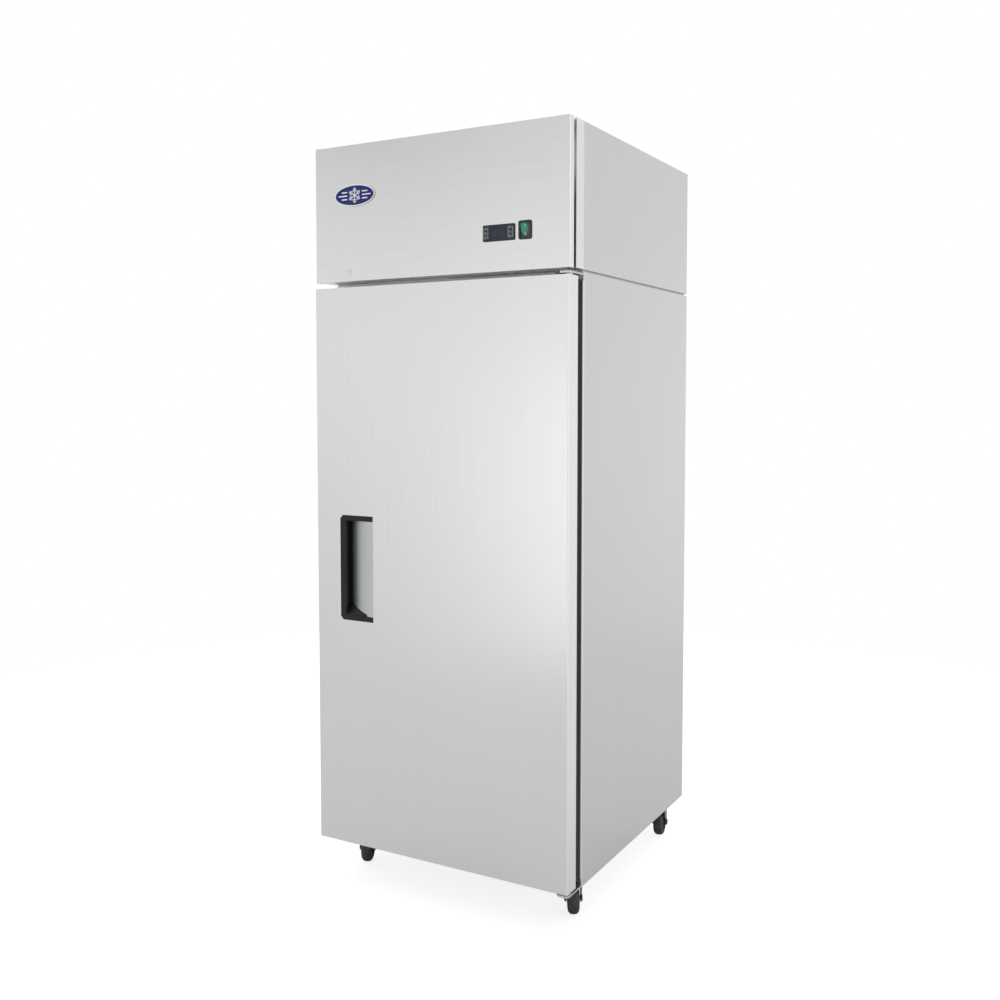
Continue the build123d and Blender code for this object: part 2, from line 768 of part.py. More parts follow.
with BuildPart() as switch_housing:
    with BuildSketch(Plane.XZ.offset(-fascia_front)) as switch_frame:
        with Locations((switch_x, switch_z)):
            RectangleRounded(*switch_bezel, 6)
    extrude(amount=switch_bezel_thickness)
    fillet(switch_housing.faces().sort_by(Axis.Y)[0].edges(), 1)
    block(
        (switch_x - switch_cutout[0] / 2 + 0.2, switch_x + switch_cutout[0] / 2 - 0.2),
        (fascia_front, fascia_front + switch_depth),
        (switch_z - switch_cutout[1] / 2 + 0.2, switch_z + switch_cutout[1] / 2 - 0.2),
    )
    block(
        (switch_x - rocker_half[0] - 0.4, switch_x + rocker_half[0] + 0.4),
        (fascia_front - 5, fascia_front + 16),
        (switch_z - rocker_half[1] - 0.9, switch_z + rocker_half[1] + 0.9),
        mode=Mode.SUBTRACT,
    )
    rod_x(
        (switch_x - rocker_half[0] - 2, switch_x + rocker_half[0] + 2),
        rocker_pivot_y,
        switch_z,
        rocker_pin + running_clearance,
        mode=Mode.SUBTRACT,
    )
    # push-on terminals at the back
    with Locations((switch_x, fascia_front + switch_depth, switch_z)):
        with Locations((0, 4, -11), (0, 4, 0), (0, 4, 11)):
            Box(6.3, 8, 0.8)
switch_housing.part.label = "switch_housing"
export_step(switch_housing.part, "parts/switch_housing.step")

# the rocker rests with its upper half out, tilted about its pins
rocker_plane = Plane(
    origin=(switch_x, rocker_pivot_y, switch_z),
    x_dir=(0, -cos(radians(rocker_tilt)), -sin(radians(rocker_tilt))),
    z_dir=(1, 0, 0),
)

with BuildPart(rocker_plane) as switch_rocker:
    with BuildSketch(rocker_plane) as rocker_profile:
        with BuildLine() as rocker_outline:
            Polyline((-8, -6), (-1, -rocker_half[1]), (5, -rocker_half[1]))
            ThreePointArc((5, -rocker_half[1]), (3.5, 0), (5, rocker_half[1]))
            Polyline((5, rocker_half[1]), (-1, rocker_half[1]), (-8, 6), (-8, -6))
        make_face()
    extrude(amount=rocker_half[0], both=True)
    Cylinder(rocker_pin, 2 * rocker_half[0] + 3.4)
switch_rocker.part.label = "switch_rocker"
export_step(switch_rocker.part, "parts/switch_rocker.step")

emblem_x = -246
emblem_z = 1849
emblem_radii = (64.5, 28.5)
emblem_rim = 3.5

with BuildPart() as emblem_plate:
    with BuildSketch(Plane.XZ.offset(-fascia_front)) as emblem_plan:
        with Locations((emblem_x, emblem_z)):
            Ellipse(*emblem_radii)
    extrude(amount=1.8)
    with BuildSketch(Plane.XZ.offset(-(fascia_front - 1.2))) as emblem_field:
        with Locations((emblem_x, emblem_z)):
            Ellipse(emblem_radii[0] - emblem_rim, emblem_radii[1] - emblem_rim)
    extrude(amount=2, mode=Mode.SUBTRACT)
emblem_plate.part.label = "emblem_plate"
export_step(emblem_plate.part, "parts/emblem_plate.step")

plug_radius = 6

with BuildPart() as lock_barrel:
    rod_y(lock_x, (fascia_front - 2, fascia_front), lock_z, 12)
    fillet(lock_barrel.faces().sort_by(Axis.Y)[0].edges(), 1)
    rod_y(lock_x, (fascia_front, cam_back - 3.4), lock_z, barrel_radius)
    with BuildSketch(Plane.XZ.offset(-(fascia_front + 8))) as lock_nut:
        with Locations((lock_x, lock_z)):
            RegularPolygon(13, 6)
    extrude(amount=5)
    plug_bore = plug_radius + running_clearance
    rod_y(lock_x, (fascia_front - 3, cam_back), lock_z, plug_bore, mode=Mode.SUBTRACT)
lock_barrel.part.label = "lock_barrel"
export_step(lock_barrel.part, "parts/lock_barrel.step")

# the plug turns in the barrel and carries the cam, which points right when unlocked
with BuildPart() as lock_cam:
    rod_y(lock_x, (fascia_front - 2.4, cam_back), lock_z, plug_radius)
    with BuildSketch(Plane.XZ.offset(-cam_back)) as cam_outline:
        with Locations((lock_x + (cam_length - 8) / 2, lock_z)):
            SlotOverall(cam_length + 8, 16)
    extrude(amount=3)
    # key slot
    block(
        (lock_x - 3.6, lock_x + 3.6),
        (fascia_front - 3, fascia_front + 3),
        (lock_z - 0.7, lock_z + 0.7),
        mode=Mode.SUBTRACT,
    )
lock_cam.part.label = "lock_cam"
export_step(lock_cam.part, "parts/lock_cam.step")

# ---------------------------------------------------------------- door
door_back = front + door_thickness
door_rim = 12  # return flange at the back of the skin
handle_left = -299
handle_right = -193
handle_low = 731
handle_high = 1012
handle_depth = 34
handle_left_bar = 18
handle_end_bar = 14
slot_x = (lock_x - 12, lock_x + 42)
slot_y = (cam_back - 8, cam_back + 5)
slot_depth = 14
door_pin_reach = 26

with BuildPart() as door_skin:
    block((-half_width, half_width), (front, door_back), (door_bottom, door_top))
    for sign in (-1, 1):
        fillet(upright_edges(door_skin, sign * half_width, front), 3)
    block(
        (-half_width + sheet, half_width - sheet),
        (front + sheet, door_back - sheet),
        (door_bottom + sheet, door_top - sheet),
        mode=Mode.SUBTRACT,
    )
    block(
        (-half_width + door_rim, half_width - door_rim),
        (door_back - 2 * sheet, door_back + 1),
        (door_bottom + door_rim, door_top - door_rim),
        mode=Mode.SUBTRACT,
    )
    with BuildSketch(Plane.XZ.offset(-front)) as handle_cutout:
        with Locations(((handle_left + handle_right) / 2, (handle_low + handle_high) / 2)):
            Rectangle(handle_right - handle_left, handle_high - handle_low)
        chamfer(handle_cutout.vertices().group_by(Axis.X)[0], 9)
    extrude(amount=5, both=True, mode=Mode.SUBTRACT)
    block(slot_x, slot_y, (door_top - 3, door_top + 1), mode=Mode.SUBTRACT)
    rod_z(
        door_pivot_x,
        door_pivot_y,
        (door_bottom - 1, door_top + 1),
        door_pin_radius + running_clearance,
        mode=Mode.SUBTRACT,
    )
door_skin.part.label = "door_skin"
export_step(door_skin.part, "parts/door_skin.step")

foam_door_x = half_width - sheet - foam_gap
foam_door_y = (front + sheet + foam_gap, door_back - sheet - foam_gap)
foam_door_z = (door_bottom + sheet + foam_gap, door_top - sheet - foam_gap)
liner_edge = 8
liner_ring = 12
plug_x = room_x - 20
plug_z = (room_bottom + 20, room_top - 20)
plug_back = cabinet_front + 5
liner_back = door_back + liner_ring
liner_wall = 2
cup_gap = 2  # between the handle's cup and the foam round it
cup_x = (handle_left - cup_gap, handle_right + cup_gap)
foam_cup_x = (handle_left - cup_gap - foam_gap, handle_right + cup_gap + foam_gap)
foam_cup_z = (handle_low - cup_gap - foam_gap, handle_high + cup_gap + foam_gap)

with BuildPart() as door_insulation:
    block((-foam_door_x, foam_cup_x[0]), foam_door_y, foam_door_z)
    block((foam_cup_x[1], foam_door_x), foam_door_y, foam_door_z)
    block(cup_x, foam_door_y, (foam_cup_z[1], foam_door_z[1]))
    block(cup_x, foam_door_y, (foam_door_z[0], foam_cup_z[0]))
    block(
        cup_x,
        (front + handle_depth + 2.5, foam_door_y[1]),
        (handle_low - cup_gap, handle_high + cup_gap),
    )
    # foam inside the liner: a slab, and the plug that stands into the room
    block(
        (-half_width + liner_edge + 3, half_width - liner_edge - 3),
        (door_back + foam_gap, liner_back - liner_wall - foam_gap),
        (door_bottom + liner_edge + 3, door_top - liner_edge - 3),
    )
    block(
        (-plug_x + liner_wall + foam_gap, plug_x - liner_wall - foam_gap),
        (liner_back - liner_wall, plug_back - liner_wall - foam_gap),
        (plug_z[0] + liner_wall + foam_gap, plug_z[1] - liner_wall - foam_gap),
    )
    block(slot_x, slot_y, (door_top - slot_depth, door_top), mode=Mode.SUBTRACT)
    for z in ((door_bottom, door_bottom + door_pin_reach), (door_top - door_pin_reach, door_top)):
        rod_z(door_pivot_x, door_pivot_y, z, door_pin_radius + 1.5, mode=Mode.SUBTRACT)
door_insulation.part.label = "door_insulation"
export_step(door_insulation.part, "parts/door_insulation.step")

with BuildPart() as door_liner:
    block(
        (-half_width + liner_edge, half_width - liner_edge),
        (door_back + 0.1, liner_back),
        (door_bottom + liner_edge, door_top - liner_edge),
    )
    block((-plug_x, plug_x), (liner_back, plug_back), plug_z)
    fillet(door_liner.faces().sort_by(Axis.Y)[-1].edges(), 5)
    block(
        (-half_width + liner_edge + liner_wall, half_width - liner_edge - liner_wall),
        (door_back, liner_back - liner_wall),
        (door_bottom + liner_edge + liner_wall, door_top - liner_edge - liner_wall),
        mode=Mode.SUBTRACT,
    )
    block(
        (-plug_x + liner_wall, plug_x - liner_wall),
        (door_back, plug_back - liner_wall),
        (plug_z[0] + liner_wall, plug_z[1] - liner_wall),
        mode=Mode.SUBTRACT,
    )
door_liner.part.label = "door_liner"
export_step(door_liner.part, "parts/door_liner.step")

gasket_outer = half_width - door_pivot_x  # inset that keeps the seal off the hinge side's swing
gasket_front = liner_back
gasket_back = cabinet_front - 0.3

with BuildPart() as door_gasket:
    # base, bellows and magnet strip, one ring behind the other
    for inset, ring_width, y in (
        (gasket_outer, 24, (gasket_front, gasket_front + 5)),
        (gasket_outer + 6, 12, (gasket_front + 5, gasket_back - 6)),
        (gasket_outer + 1, 20, (gasket_back - 6, gasket_back)),
    ):
        block((-half_width + inset, half_width - inset), y, (door_bottom + inset, door_top - inset))
        inner = inset + ring_width
        block(
            (-half_width + inner, half_width - inner),
            y,
            (door_bottom + inner, door_top - inner),
            mode=Mode.SUBTRACT,
        )
door_gasket.part.label = "door_gasket"
export_step(door_gasket.part, "parts/door_gasket.step")

pocket_left = handle_left + handle_left_bar
scoop_left_y = front + handle_depth - 4
scoop_z = (handle_low + handle_end_bar, handle_high - handle_end_bar)
fit_gap = 0.2
scoop_left_x = pocket_left + fit_gap
scoop_right_x = handle_right - fit_gap

with BuildPart() as handle_frame:
    with BuildSketch(Plane.XZ.offset(-front - handle_depth)) as handle_outline:
        with Locations(((handle_left + handle_right) / 2, (handle_low + handle_high) / 2)):
            Rectangle(
                handle_right - handle_left - 2 * fit_gap,
                handle_high - handle_low - 2 * fit_gap,
            )
        chamfer(handle_outline.vertices().group_by(Axis.X)[0], 9)
    extrude(amount=handle_depth)
    pocket_y = (front - 1, front + handle_depth + 1)
    block((pocket_left, handle_right + 5), pocket_y, scoop_z, mode=Mode.SUBTRACT)
    # finger undercut behind the grip bar
    block(
        (handle_left + 6, pocket_left + 1),
        (front + 10, front + handle_depth - 6),
        (scoop_z[0] + 6, scoop_z[1] - 6),
        mode=Mode.SUBTRACT,
    )
    fillet(upright_edges(handle_frame, pocket_left, front), 2)
handle_frame.part.label = "handle_frame"
export_step(handle_frame.part, "parts/handle_frame.step")

with BuildPart() as handle_scoop:
    with BuildSketch(Plane.XY.offset(scoop_z[0] + fit_gap)) as scoop_profile:
        with BuildLine() as scoop_line:
            face_ends = ((scoop_right_x, front + 0.2), (scoop_left_x, scoop_left_y))
            back_ends = ((scoop_right_x, front + 2.2), (scoop_left_x, scoop_left_y + 2.4))
            face_arc = TangentArc(*face_ends, tangent=(-1, 0))
            Line(face_ends[1], back_ends[1])
            back_arc = TangentArc(*back_ends, tangent=(-1, 0))
            Line(back_arc @ 0, face_arc @ 0)
        make_face()
    extrude(amount=scoop_z[1] - scoop_z[0] - 2 * fit_gap)
handle_scoop.part.label = "handle_scoop"
export_step(handle_scoop.part, "parts/handle_scoop.step")

# ---------------------------------------------------------------- door hinge brackets
bracket_left = 318
bracket_plate = 5
bracket_front = front + 6
upper_plate_z = door_top + 4
lower_plate_z = door_bottom - 10
leg_thickness = 5
collar_radius = 9
pin_engagement = 22
plate_x = (bracket_left + half_width) / 2
plate_y = (bracket_front + cabinet_front) / 2

for name, plate_z, pin_z, leg_z in (
    (
        "upper",
        upper_plate_z,
        (door_top - pin_engagement, upper_plate_z + 1),
        (upper_plate_z - 12, upper_plate_z + 8),
    ),
    (
        "lower",
        lower_plate_z,
        (lower_plate_z + 1, door_bottom + pin_engagement),
        (lower_plate_z, lower_plate_z + 21),
    ),
):
    with BuildPart() as hinge_bracket:
        with BuildSketch(Plane.XY.offset(plate_z)) as plate_plan:
            with Locations((plate_x, plate_y)):
                Rectangle(half_width - bracket_left, cabinet_front - bracket_front)
            front_corners = plate_plan.vertices().group_by(Axis.Y)[0].sort_by(Axis.X)
            chamfer(front_corners[0], 36, 30)
            fillet(plate_plan.vertices().group_by(Axis.Y)[0].sort_by(Axis.X)[-1], 10)
        extrude(amount=bracket_plate)
        leg_y = (cabinet_front - leg_thickness, cabinet_front - 0.02)
        block((bracket_left - 10, half_width), leg_y, leg_z)
        rod_z(door_pivot_x, door_pivot_y, pin_z, door_pin_radius)
        # collar that carries the door's weight, or spaces it from the plate above
        if name == "lower":
            rod_z(door_pivot_x, door_pivot_y, (plate_z, door_bottom - 0.3), collar_radius)
        else:
            rod_z(door_pivot_x, door_pivot_y, (door_top + 0.3, plate_z + 1), collar_radius)
    hinge_bracket.part.label = f"{name}_hinge_bracket"
    export_step(hinge_bracket.part, f"parts/{name}_hinge_bracket.step")

# ---------------------------------------------------------------- casters
caster_x = 326
front_caster_y = -258
rear_caster_y = 330
wheel_radius = 40
wheel_width = 30
tread_round = 12
hub_radius = 26
trail = 26
axle_radius = 5
kingpin_radius = 6
plate_thickness = 4
race_height = 6
fork_head_top = cabinet_bottom - plate_thickness - race_height - 0.3
fork_head_thickness = 6
fork_leg = 2.5
leg_round = 11
fork_gap = wheel_width / 2 + 3
pedal_y = fork_gap + fork_leg + 4.6
pedal_z = 86
pedal_pin = 2
pedal_reach = 18
pedal_half = 15.5
ear_half = 18
mount_half = (44, 34)
bolt_pitch = (72, 50)
# how far each caster has swung round from pointing straight back
casters = {
    "front_left": (-caster_x, front_caster_y, 25),
    "front_right": (caster_x, front_caster_y, 29),
    "rear_left": (-caster_x, rear_caster_y, 35),
    "rear_right": (caster_x, rear_caster_y, 12),
}

with BuildPart() as caster_plates:
    for x, y, _ in casters.values():
        plate_z = (cabinet_bottom - plate_thickness, cabinet_bottom - 0.02)
        block((x - mount_half[0], x + mount_half[0]), (y - mount_half[1], y + mount_half[1]), plate_z)
        rod_z(x, y, (plate_z[0] - race_height, plate_z[0]), 26)
        rod_z(
            x,
            y,
            (cabinet_bottom - 20, cabinet_bottom - 1.5),
            kingpin_radius + running_clearance,
            mode=Mode.SUBTRACT,
        )
caster_plates.part.label = "caster_plates"
export_step(caster_plates.part, "parts/caster_plates.step")

for place, (x, y, heading) in casters.items():
    # local X points the way the wheel trails, local Y to the caster's left
    caster_plane = Plane(
        origin=(x, y, 0), x_dir=(-sin(radians(heading)), cos(radians(heading)), 0), z_dir=(0, 0, 1)
    )
    has_brake = place.startswith("front")
    with BuildPart(caster_plane) as fork:
        head_z = (fork_head_top - fork_head_thickness, fork_head_top)
        rod_z(0, 0, head_z, 24)
        block((0, trail + 6), (-fork_gap - fork_leg, fork_gap + fork_leg), head_z)
        rod_z(0, 0, (head_z[0], cabinet_bottom - 2), kingpin_radius)
        for sign in (-1, 1):
            leg_place = caster_plane.location * Location((0, sign * fork_gap, 0), (90, 0, 0))
            leg_front = (trail + leg_round, wheel_radius)
            leg_back = (trail - leg_round, wheel_radius)
            with BuildSketch(Plane(leg_place)) as leg:
                with BuildLine() as leg_outline:
                    Polyline((-16, head_z[1]), (trail + 6, head_z[1]), leg_front)
                    ThreePointArc(leg_front, (trail, wheel_radius - leg_round), leg_back)
                    Line(leg_back, (-16, head_z[1]))
                make_face()
            extrude(amount=-sign * fork_leg)
        with Locations((trail, 0, wheel_radius)):
            Cylinder(axle_radius, 2 * (fork_gap + fork_leg), rotation=(90, 0, 0))
            for sign in (-1, 1):
                with Locations((0, sign * (fork_gap + fork_leg + 1.5), 0)):
                    Cylinder(8, 3, rotation=(90, 0, 0))
        if has_brake:
            # two ears on the left leg hold the pedal's pin
            for ear_x in (trail - ear_half, trail + ear_half - 2):
                block((ear_x, ear_x + 2), (fork_gap + 1, pedal_y + 3), (pedal_z - 5, pedal_z + 4))
            for ear_root in ((trail - ear_half, trail - 4), (trail + 2, trail + ear_half)):
                block(ear_root, (fork_gap, fork_gap + fork_leg), (pedal_z - 5, head_z[1]))
            rod_x((trail - ear_half, trail + ear_half), pedal_y, pedal_z, pedal_pin)
    fork.part.label = f"caster_fork_{place}"
    export_step(fork.part, f"parts/caster_fork_{place}.step")

    with BuildPart(caster_plane) as wheel:
        with Locations((trail, 0, wheel_radius)):
            Cylinder(wheel_radius, wheel_width, rotation=(90, 0, 0))
            fillet(wheel.edges().filter_by(GeomType.CIRCLE), tread_round)
            for sign in (-1, 1):
                with Locations((0, sign * wheel_width / 2, 0)):
                    Cylinder(hub_radius, 8, rotation=(90, 0, 0), mode=Mode.SUBTRACT)
            Cylinder(12, wheel_width + 2, rotation=(90, 0, 0))
            Cylinder(
                axle_radius + running_clearance,
                wheel_width + 10,
                rotation=(90, 0, 0),
                mode=Mode.SUBTRACT,
            )
    wheel.part.label = f"caster_wheel_{place}"
    export_step(wheel.part, f"parts/caster_wheel_{place}.step")

    if has_brake:
        with BuildPart(caster_plane) as pedal:
            pedal_x = (trail - pedal_half, trail + pedal_half)
            pedal_tip = pedal_y + pedal_reach
            rod_x(pedal_x, pedal_y, pedal_z, 4)
            block(pedal_x, (pedal_y, pedal_tip), (pedal_z + 0.5, pedal_z + 4))
            block(pedal_x, (pedal_tip - 3, pedal_tip), (pedal_z - 4, pedal_z + 4))
            rod_x(
                (trail - 17, trail + 17),
                pedal_y,
                pedal_z,
                pedal_pin + running_clearance,
                mode=Mode.SUBTRACT,
            )
        pedal.part.label = f"brake_pedal_{place}"
        export_step(pedal.part, f"parts/brake_pedal_{place}.step")

# ---------------------------------------------------------------- screws and bolts
screw_radius = 5
screw_height = 1.8

with BuildPart() as fasteners:
    # pan heads on the rear panel and on the grille
    for sign in (-1, 1):
        for n in range(5):
            z = cabinet_bottom + 40 + n * (cabinet_top - cabinet_bottom - 80) / 4
            rod_y(sign * (skin_x - 25), (rear_skin, rear_skin + screw_height), z, screw_radius)
        for z in (header_bottom + 15, header_top - 15):
            rod_y(sign * (grille_x - 14), (grille_back, grille_back + screw_height), z, screw_radius)
    # hinge bracket screws
    for z in (upper_plate_z - 5, lower_plate_z + 14):
        for x in (bracket_left + 2, bracket_left + 26):
            rod_y(x, (cabinet_front - leg_thickness - 2.5, cabinet_front - leg_thickness), z, 4)
    # hexagon bolts under the caster plates
    for x, y, _ in casters.values():
        with BuildSketch(Plane.XY.offset(cabinet_bottom - plate_thickness - 4)) as bolt_heads:
            with Locations((x, y)):
                with GridLocations(*bolt_pitch, 2, 2):
                    RegularPolygon(5.5, 6)
        extrude(amount=4)
fasteners.part.label = "fasteners"
export_step(fasteners.part, "parts/fasteners.step")
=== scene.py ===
import json
from math import cos, pi, radians, sin

import bmesh
import bpy
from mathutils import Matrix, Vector
from mathutils.bvhtree import BVHTree


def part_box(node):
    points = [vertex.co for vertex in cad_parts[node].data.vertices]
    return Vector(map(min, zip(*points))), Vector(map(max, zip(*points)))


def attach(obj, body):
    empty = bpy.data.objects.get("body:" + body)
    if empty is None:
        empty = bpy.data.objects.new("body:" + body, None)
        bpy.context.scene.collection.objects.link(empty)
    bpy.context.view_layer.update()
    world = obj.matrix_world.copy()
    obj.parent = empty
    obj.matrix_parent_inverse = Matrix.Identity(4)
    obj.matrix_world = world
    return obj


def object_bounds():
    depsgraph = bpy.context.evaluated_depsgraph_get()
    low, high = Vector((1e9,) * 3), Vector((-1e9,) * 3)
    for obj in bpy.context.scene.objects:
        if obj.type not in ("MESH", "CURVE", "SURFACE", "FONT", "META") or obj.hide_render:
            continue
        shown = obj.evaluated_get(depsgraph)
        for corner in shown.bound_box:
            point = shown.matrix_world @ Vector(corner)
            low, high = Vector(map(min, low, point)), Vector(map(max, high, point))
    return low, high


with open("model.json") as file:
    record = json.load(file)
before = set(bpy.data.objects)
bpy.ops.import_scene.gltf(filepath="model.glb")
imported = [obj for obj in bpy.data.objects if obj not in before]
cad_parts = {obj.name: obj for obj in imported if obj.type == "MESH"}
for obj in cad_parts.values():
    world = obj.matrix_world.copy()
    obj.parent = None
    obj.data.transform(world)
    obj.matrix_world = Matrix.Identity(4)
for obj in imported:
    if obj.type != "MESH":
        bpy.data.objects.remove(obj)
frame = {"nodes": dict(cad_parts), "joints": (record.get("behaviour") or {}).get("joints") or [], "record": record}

MM = 0.001
cad_low, cad_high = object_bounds()
slot_of = {part["node"]: part["material_slot"] for part in frame["record"]["subparts"]}
joint_of = {joint["name"]: joint for joint in frame["joints"]}


def centre_of(node):
    """The middle of a CAD node's box."""
    low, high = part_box(node)
    return (low + high) / 2


# ---------------------------------------------------------------- material building blocks
def shade(colour, factor):
    """The colour, darker or lighter."""
    return tuple(min(1.0, channel * factor) for channel in colour)


def math_node(tree, operation, first, second=0.0):
    """Adds one sum to a node tree. Each side is a number or another node's output."""
    node = tree.nodes.new("ShaderNodeMath")
    node.operation = operation
    for socket, value in zip(node.inputs, (first, second)):
        if isinstance(value, (int, float)):
            socket.default_value = value
        else:
            tree.links.new(value, socket)
    return node.outputs["Value"]


class Look:
    """A procedural material: its principled shader, and calls that add texture nodes in front of it."""

    def __init__(self, name, colour, roughness, metallic=0.0, **sockets):
        self.material = bpy.data.materials.new(name)
        self.material.use_nodes = True
        self.nodes = self.material.node_tree.nodes
        self.links = self.material.node_tree.links
        self.shader = self.nodes["Principled BSDF"]
        self.colour = colour
        self.roughness = roughness
        self.paint = None
        self.normal = None
        self.set("Base Color", (*colour, 1.0))
        self.set("Roughness", roughness)
        self.set("Metallic", metallic)
        for socket, value in sockets.items():
            self.set(socket.replace("_", " "), value)

    def set(self, socket, value):
        self.shader.inputs[socket].default_value = value

    def place(self, stretch=(1, 1, 1)):
        """Places in the row frame, in metres, stretched along each axis."""
        mapping = self.nodes.new("ShaderNodeMapping")
        mapping.inputs["Scale"].default_value = stretch
        place = self.nodes.new("ShaderNodeTexCoord").outputs["Object"]
        self.links.new(place, mapping.inputs["Vector"])
        return mapping.outputs["Vector"]

    def noise(self, stretch, detail=2.0, softness=0.5):
        """Noise from 0 to 1, with this many features per metre along each axis."""
        node = self.nodes.new("ShaderNodeTexNoise")
        node.inputs["Scale"].default_value = 1.0
        node.inputs["Detail"].default_value = detail
        node.inputs["Roughness"].default_value = softness
        self.links.new(self.place(stretch), node.inputs["Vector"])
        return node.outputs["Fac"]

    def crystals(self, size):
        """Cells round scattered points that are about this far apart, in metres."""
        node = self.nodes.new("ShaderNodeTexVoronoi")
        node.inputs["Scale"].default_value = 1.0
        self.links.new(self.place((1 / size, 1 / size, 1 / size)), node.inputs["Vector"])
        return node

    def cells(self, size):
        """Distance to the nearest scattered point."""
        return self.crystals(size).outputs["Distance"]

    def cell_shades(self, size):
        """One random grey for each cell."""
        split = self.nodes.new("ShaderNodeSeparateColor")
        self.links.new(self.crystals(size).outputs["Color"], split.inputs["Color"])
        return split.outputs["Red"]

    def axis(self, name):
        """One coordinate in the row frame."""
        split = self.nodes.new("ShaderNodeSeparateXYZ")
        self.links.new(self.place(), split.inputs["Vector"])
        return split.outputs[name.upper()]

    def math(self, operation, first, second=0.0):
        return math_node(self.material.node_tree, operation, first, second)

    def remap(self, value, low, high, start=0.3, end=0.7):
        """The value, carried from start..end to low..high and held there."""
        node = self.nodes.new("ShaderNodeMapRange")
        for socket, number in (("From Min", start), ("From Max", end), ("To Min", low), ("To Max", high)):
            node.inputs[socket].default_value = number
        self.links.new(value, node.inputs["Value"])
        return node.outputs["Result"]

    def tint(self, value, dark, light, start=0.3, end=0.7):
        """Paints the surface between two colours, by a value."""
        ramp = self.nodes.new("ShaderNodeValToRGB")
        ramp.color_ramp.elements[0].position = start
        ramp.color_ramp.elements[1].position = end
        ramp.color_ramp.elements[0].color = (*dark, 1.0)
        ramp.color_ramp.elements[1].color = (*light, 1.0)
        self.links.new(value, ramp.inputs["Fac"])
        self.paint = ramp.outputs["Color"]
        self.links.new(self.paint, self.shader.inputs["Base Color"])

    def cover(self, share, colour):
        """Paints a colour over what is there, where the share is 1."""
        mix = self.nodes.new("ShaderNodeMix")
        mix.data_type = "RGBA"
        self.links.new(share, mix.inputs["Factor"])
        self.links.new(self.paint, mix.inputs["A"])
        mix.inputs["B"].default_value = (*colour, 1.0)
        self.paint = mix.outputs["Result"]
        self.links.new(self.paint, self.shader.inputs["Base Color"])

    def vary_roughness(self, value, spread):
        """Roughness that wanders about its own value."""
        rough = self.remap(value, self.roughness - spread, self.roughness + spread)
        self.links.new(rough, self.shader.inputs["Roughness"])

    def soften_edges(self, radius):
        """Rounds the shading of sharp edges, and returns 1 on an edge and 0 on a flat.

        The cosine between the rounded and the flat normal tells how near the edge is.
        """
        edge_cosine, flat_cosine = 0.86, 0.995
        bevel = self.nodes.new("ShaderNodeBevel")
        bevel.samples = 3
        bevel.inputs["Radius"].default_value = radius
        flat = self.nodes.new("ShaderNodeNewGeometry").outputs["Normal"]
        dot = self.nodes.new("ShaderNodeVectorMath")
        dot.operation = "DOT_PRODUCT"
        self.links.new(bevel.outputs["Normal"], dot.inputs[0])
        self.links.new(flat, dot.inputs[1])
        self.normal = bevel.outputs["Normal"]
        self.links.new(self.normal, self.shader.inputs["Normal"])
        return self.remap(dot.outputs["Value"], 1.0, 0.0, edge_cosine, flat_cosine)

    def bump(self, value, height):
        """Raises the surface by a value, to this height in metres."""
        node = self.nodes.new("ShaderNodeBump")
        node.inputs["Distance"].default_value = height
        self.links.new(value, node.inputs["Height"])
        if self.normal is not None:
            self.links.new(self.normal, node.inputs["Normal"])
        self.normal = node.outputs["Normal"]
        self.links.new(self.normal, self.shader.inputs["Normal"])


# ---------------------------------------------------------------- metals
def brushed(name, colour, roughness, along, painted_edge_highlight=0.35, returns=None):
    """Brushed sheet: scratches along one axis, faint streaks, cloudy wiping marks, and a painted highlight on its
    edges.

    Further out in X than the place given as returns, the sheet's folded edge is painted paler, a painted
    highlight.
    """
    look = Look(name, colour, roughness, metallic=1.0)
    edge_mask = look.soften_edges(1.5 * MM)
    scratches = look.noise([9 if axis == along else 1100 for axis in "xyz"], detail=3.0)
    streaks = look.noise([1.2 if axis == along else 170 for axis in "xyz"])
    clouds = look.noise((3, 3, 2.2), detail=3.0)
    grain = look.math("ADD", look.math("MULTIPLY", scratches, 0.55), look.math("MULTIPLY", streaks, 0.45))
    look.tint(grain, shade(colour, 0.975), shade(colour, 1.02))
    wiping = look.math("ADD", look.math("MULTIPLY", scratches, 0.5), look.math("MULTIPLY", clouds, 0.5))
    look.vary_roughness(wiping, 0.035)
    # painted highlight: the folded side returns are painted paler than the same steel on the front
    if returns is not None:
        side = look.math("ABSOLUTE", look.axis("x"))
        painted_fold_highlight = look.remap(side, 0.0, 1.0, returns, returns + 0.5 * MM)
        look.cover(painted_fold_highlight, shade(colour, 1.22))
    # painted highlight: every edge is painted brighter, as strongly as the edge highlight setting asks
    look.cover(look.math("MULTIPLY", edge_mask, painted_edge_highlight), shade(colour, 1.35))
    look.bump(scratches, 0.012 * MM)
    return look


def galvanised(name, colour):
    """Zinc-coated sheet with its crystal spangle and a dull bloom."""
    crystal = 14 * MM
    look = Look(name, colour, 0.42, metallic=1.0)
    look.soften_edges(1 * MM)
    spangle = look.cell_shades(crystal)
    bloom = look.noise((9, 9, 9), detail=4.0)
    look.tint(spangle, shade(colour, 0.82), shade(colour, 1.12), 0.0, 1.0)
    look.cover(look.remap(bloom, 0.0, 0.35, 0.5, 0.75), shade(colour, 0.9))
    look.vary_roughness(spangle, 0.09)
    look.bump(look.cells(crystal), 0.04 * MM)
    return look


def plated(name, colour, roughness, tarnish):
    """Zinc or chrome plate: mottled, with a faint tarnish and worn bright edges."""
    look = Look(name, colour, roughness, metallic=1.0)
    edge_mask = look.soften_edges(0.7 * MM)
    mottle = look.noise((120, 120, 120), detail=4.0)
    cloud = look.noise((25, 25, 25), detail=3.0)
    look.tint(mottle, shade(colour, 0.9), shade(colour, 1.06))
    look.cover(look.remap(cloud, 0.0, 0.45, 0.5, 0.75), tarnish)
    look.cover(look.math("MULTIPLY", edge_mask, 0.5), shade(colour, 1.2))
    look.vary_roughness(cloud, 0.06)
    look.bump(mottle, 0.02 * MM)
    return look


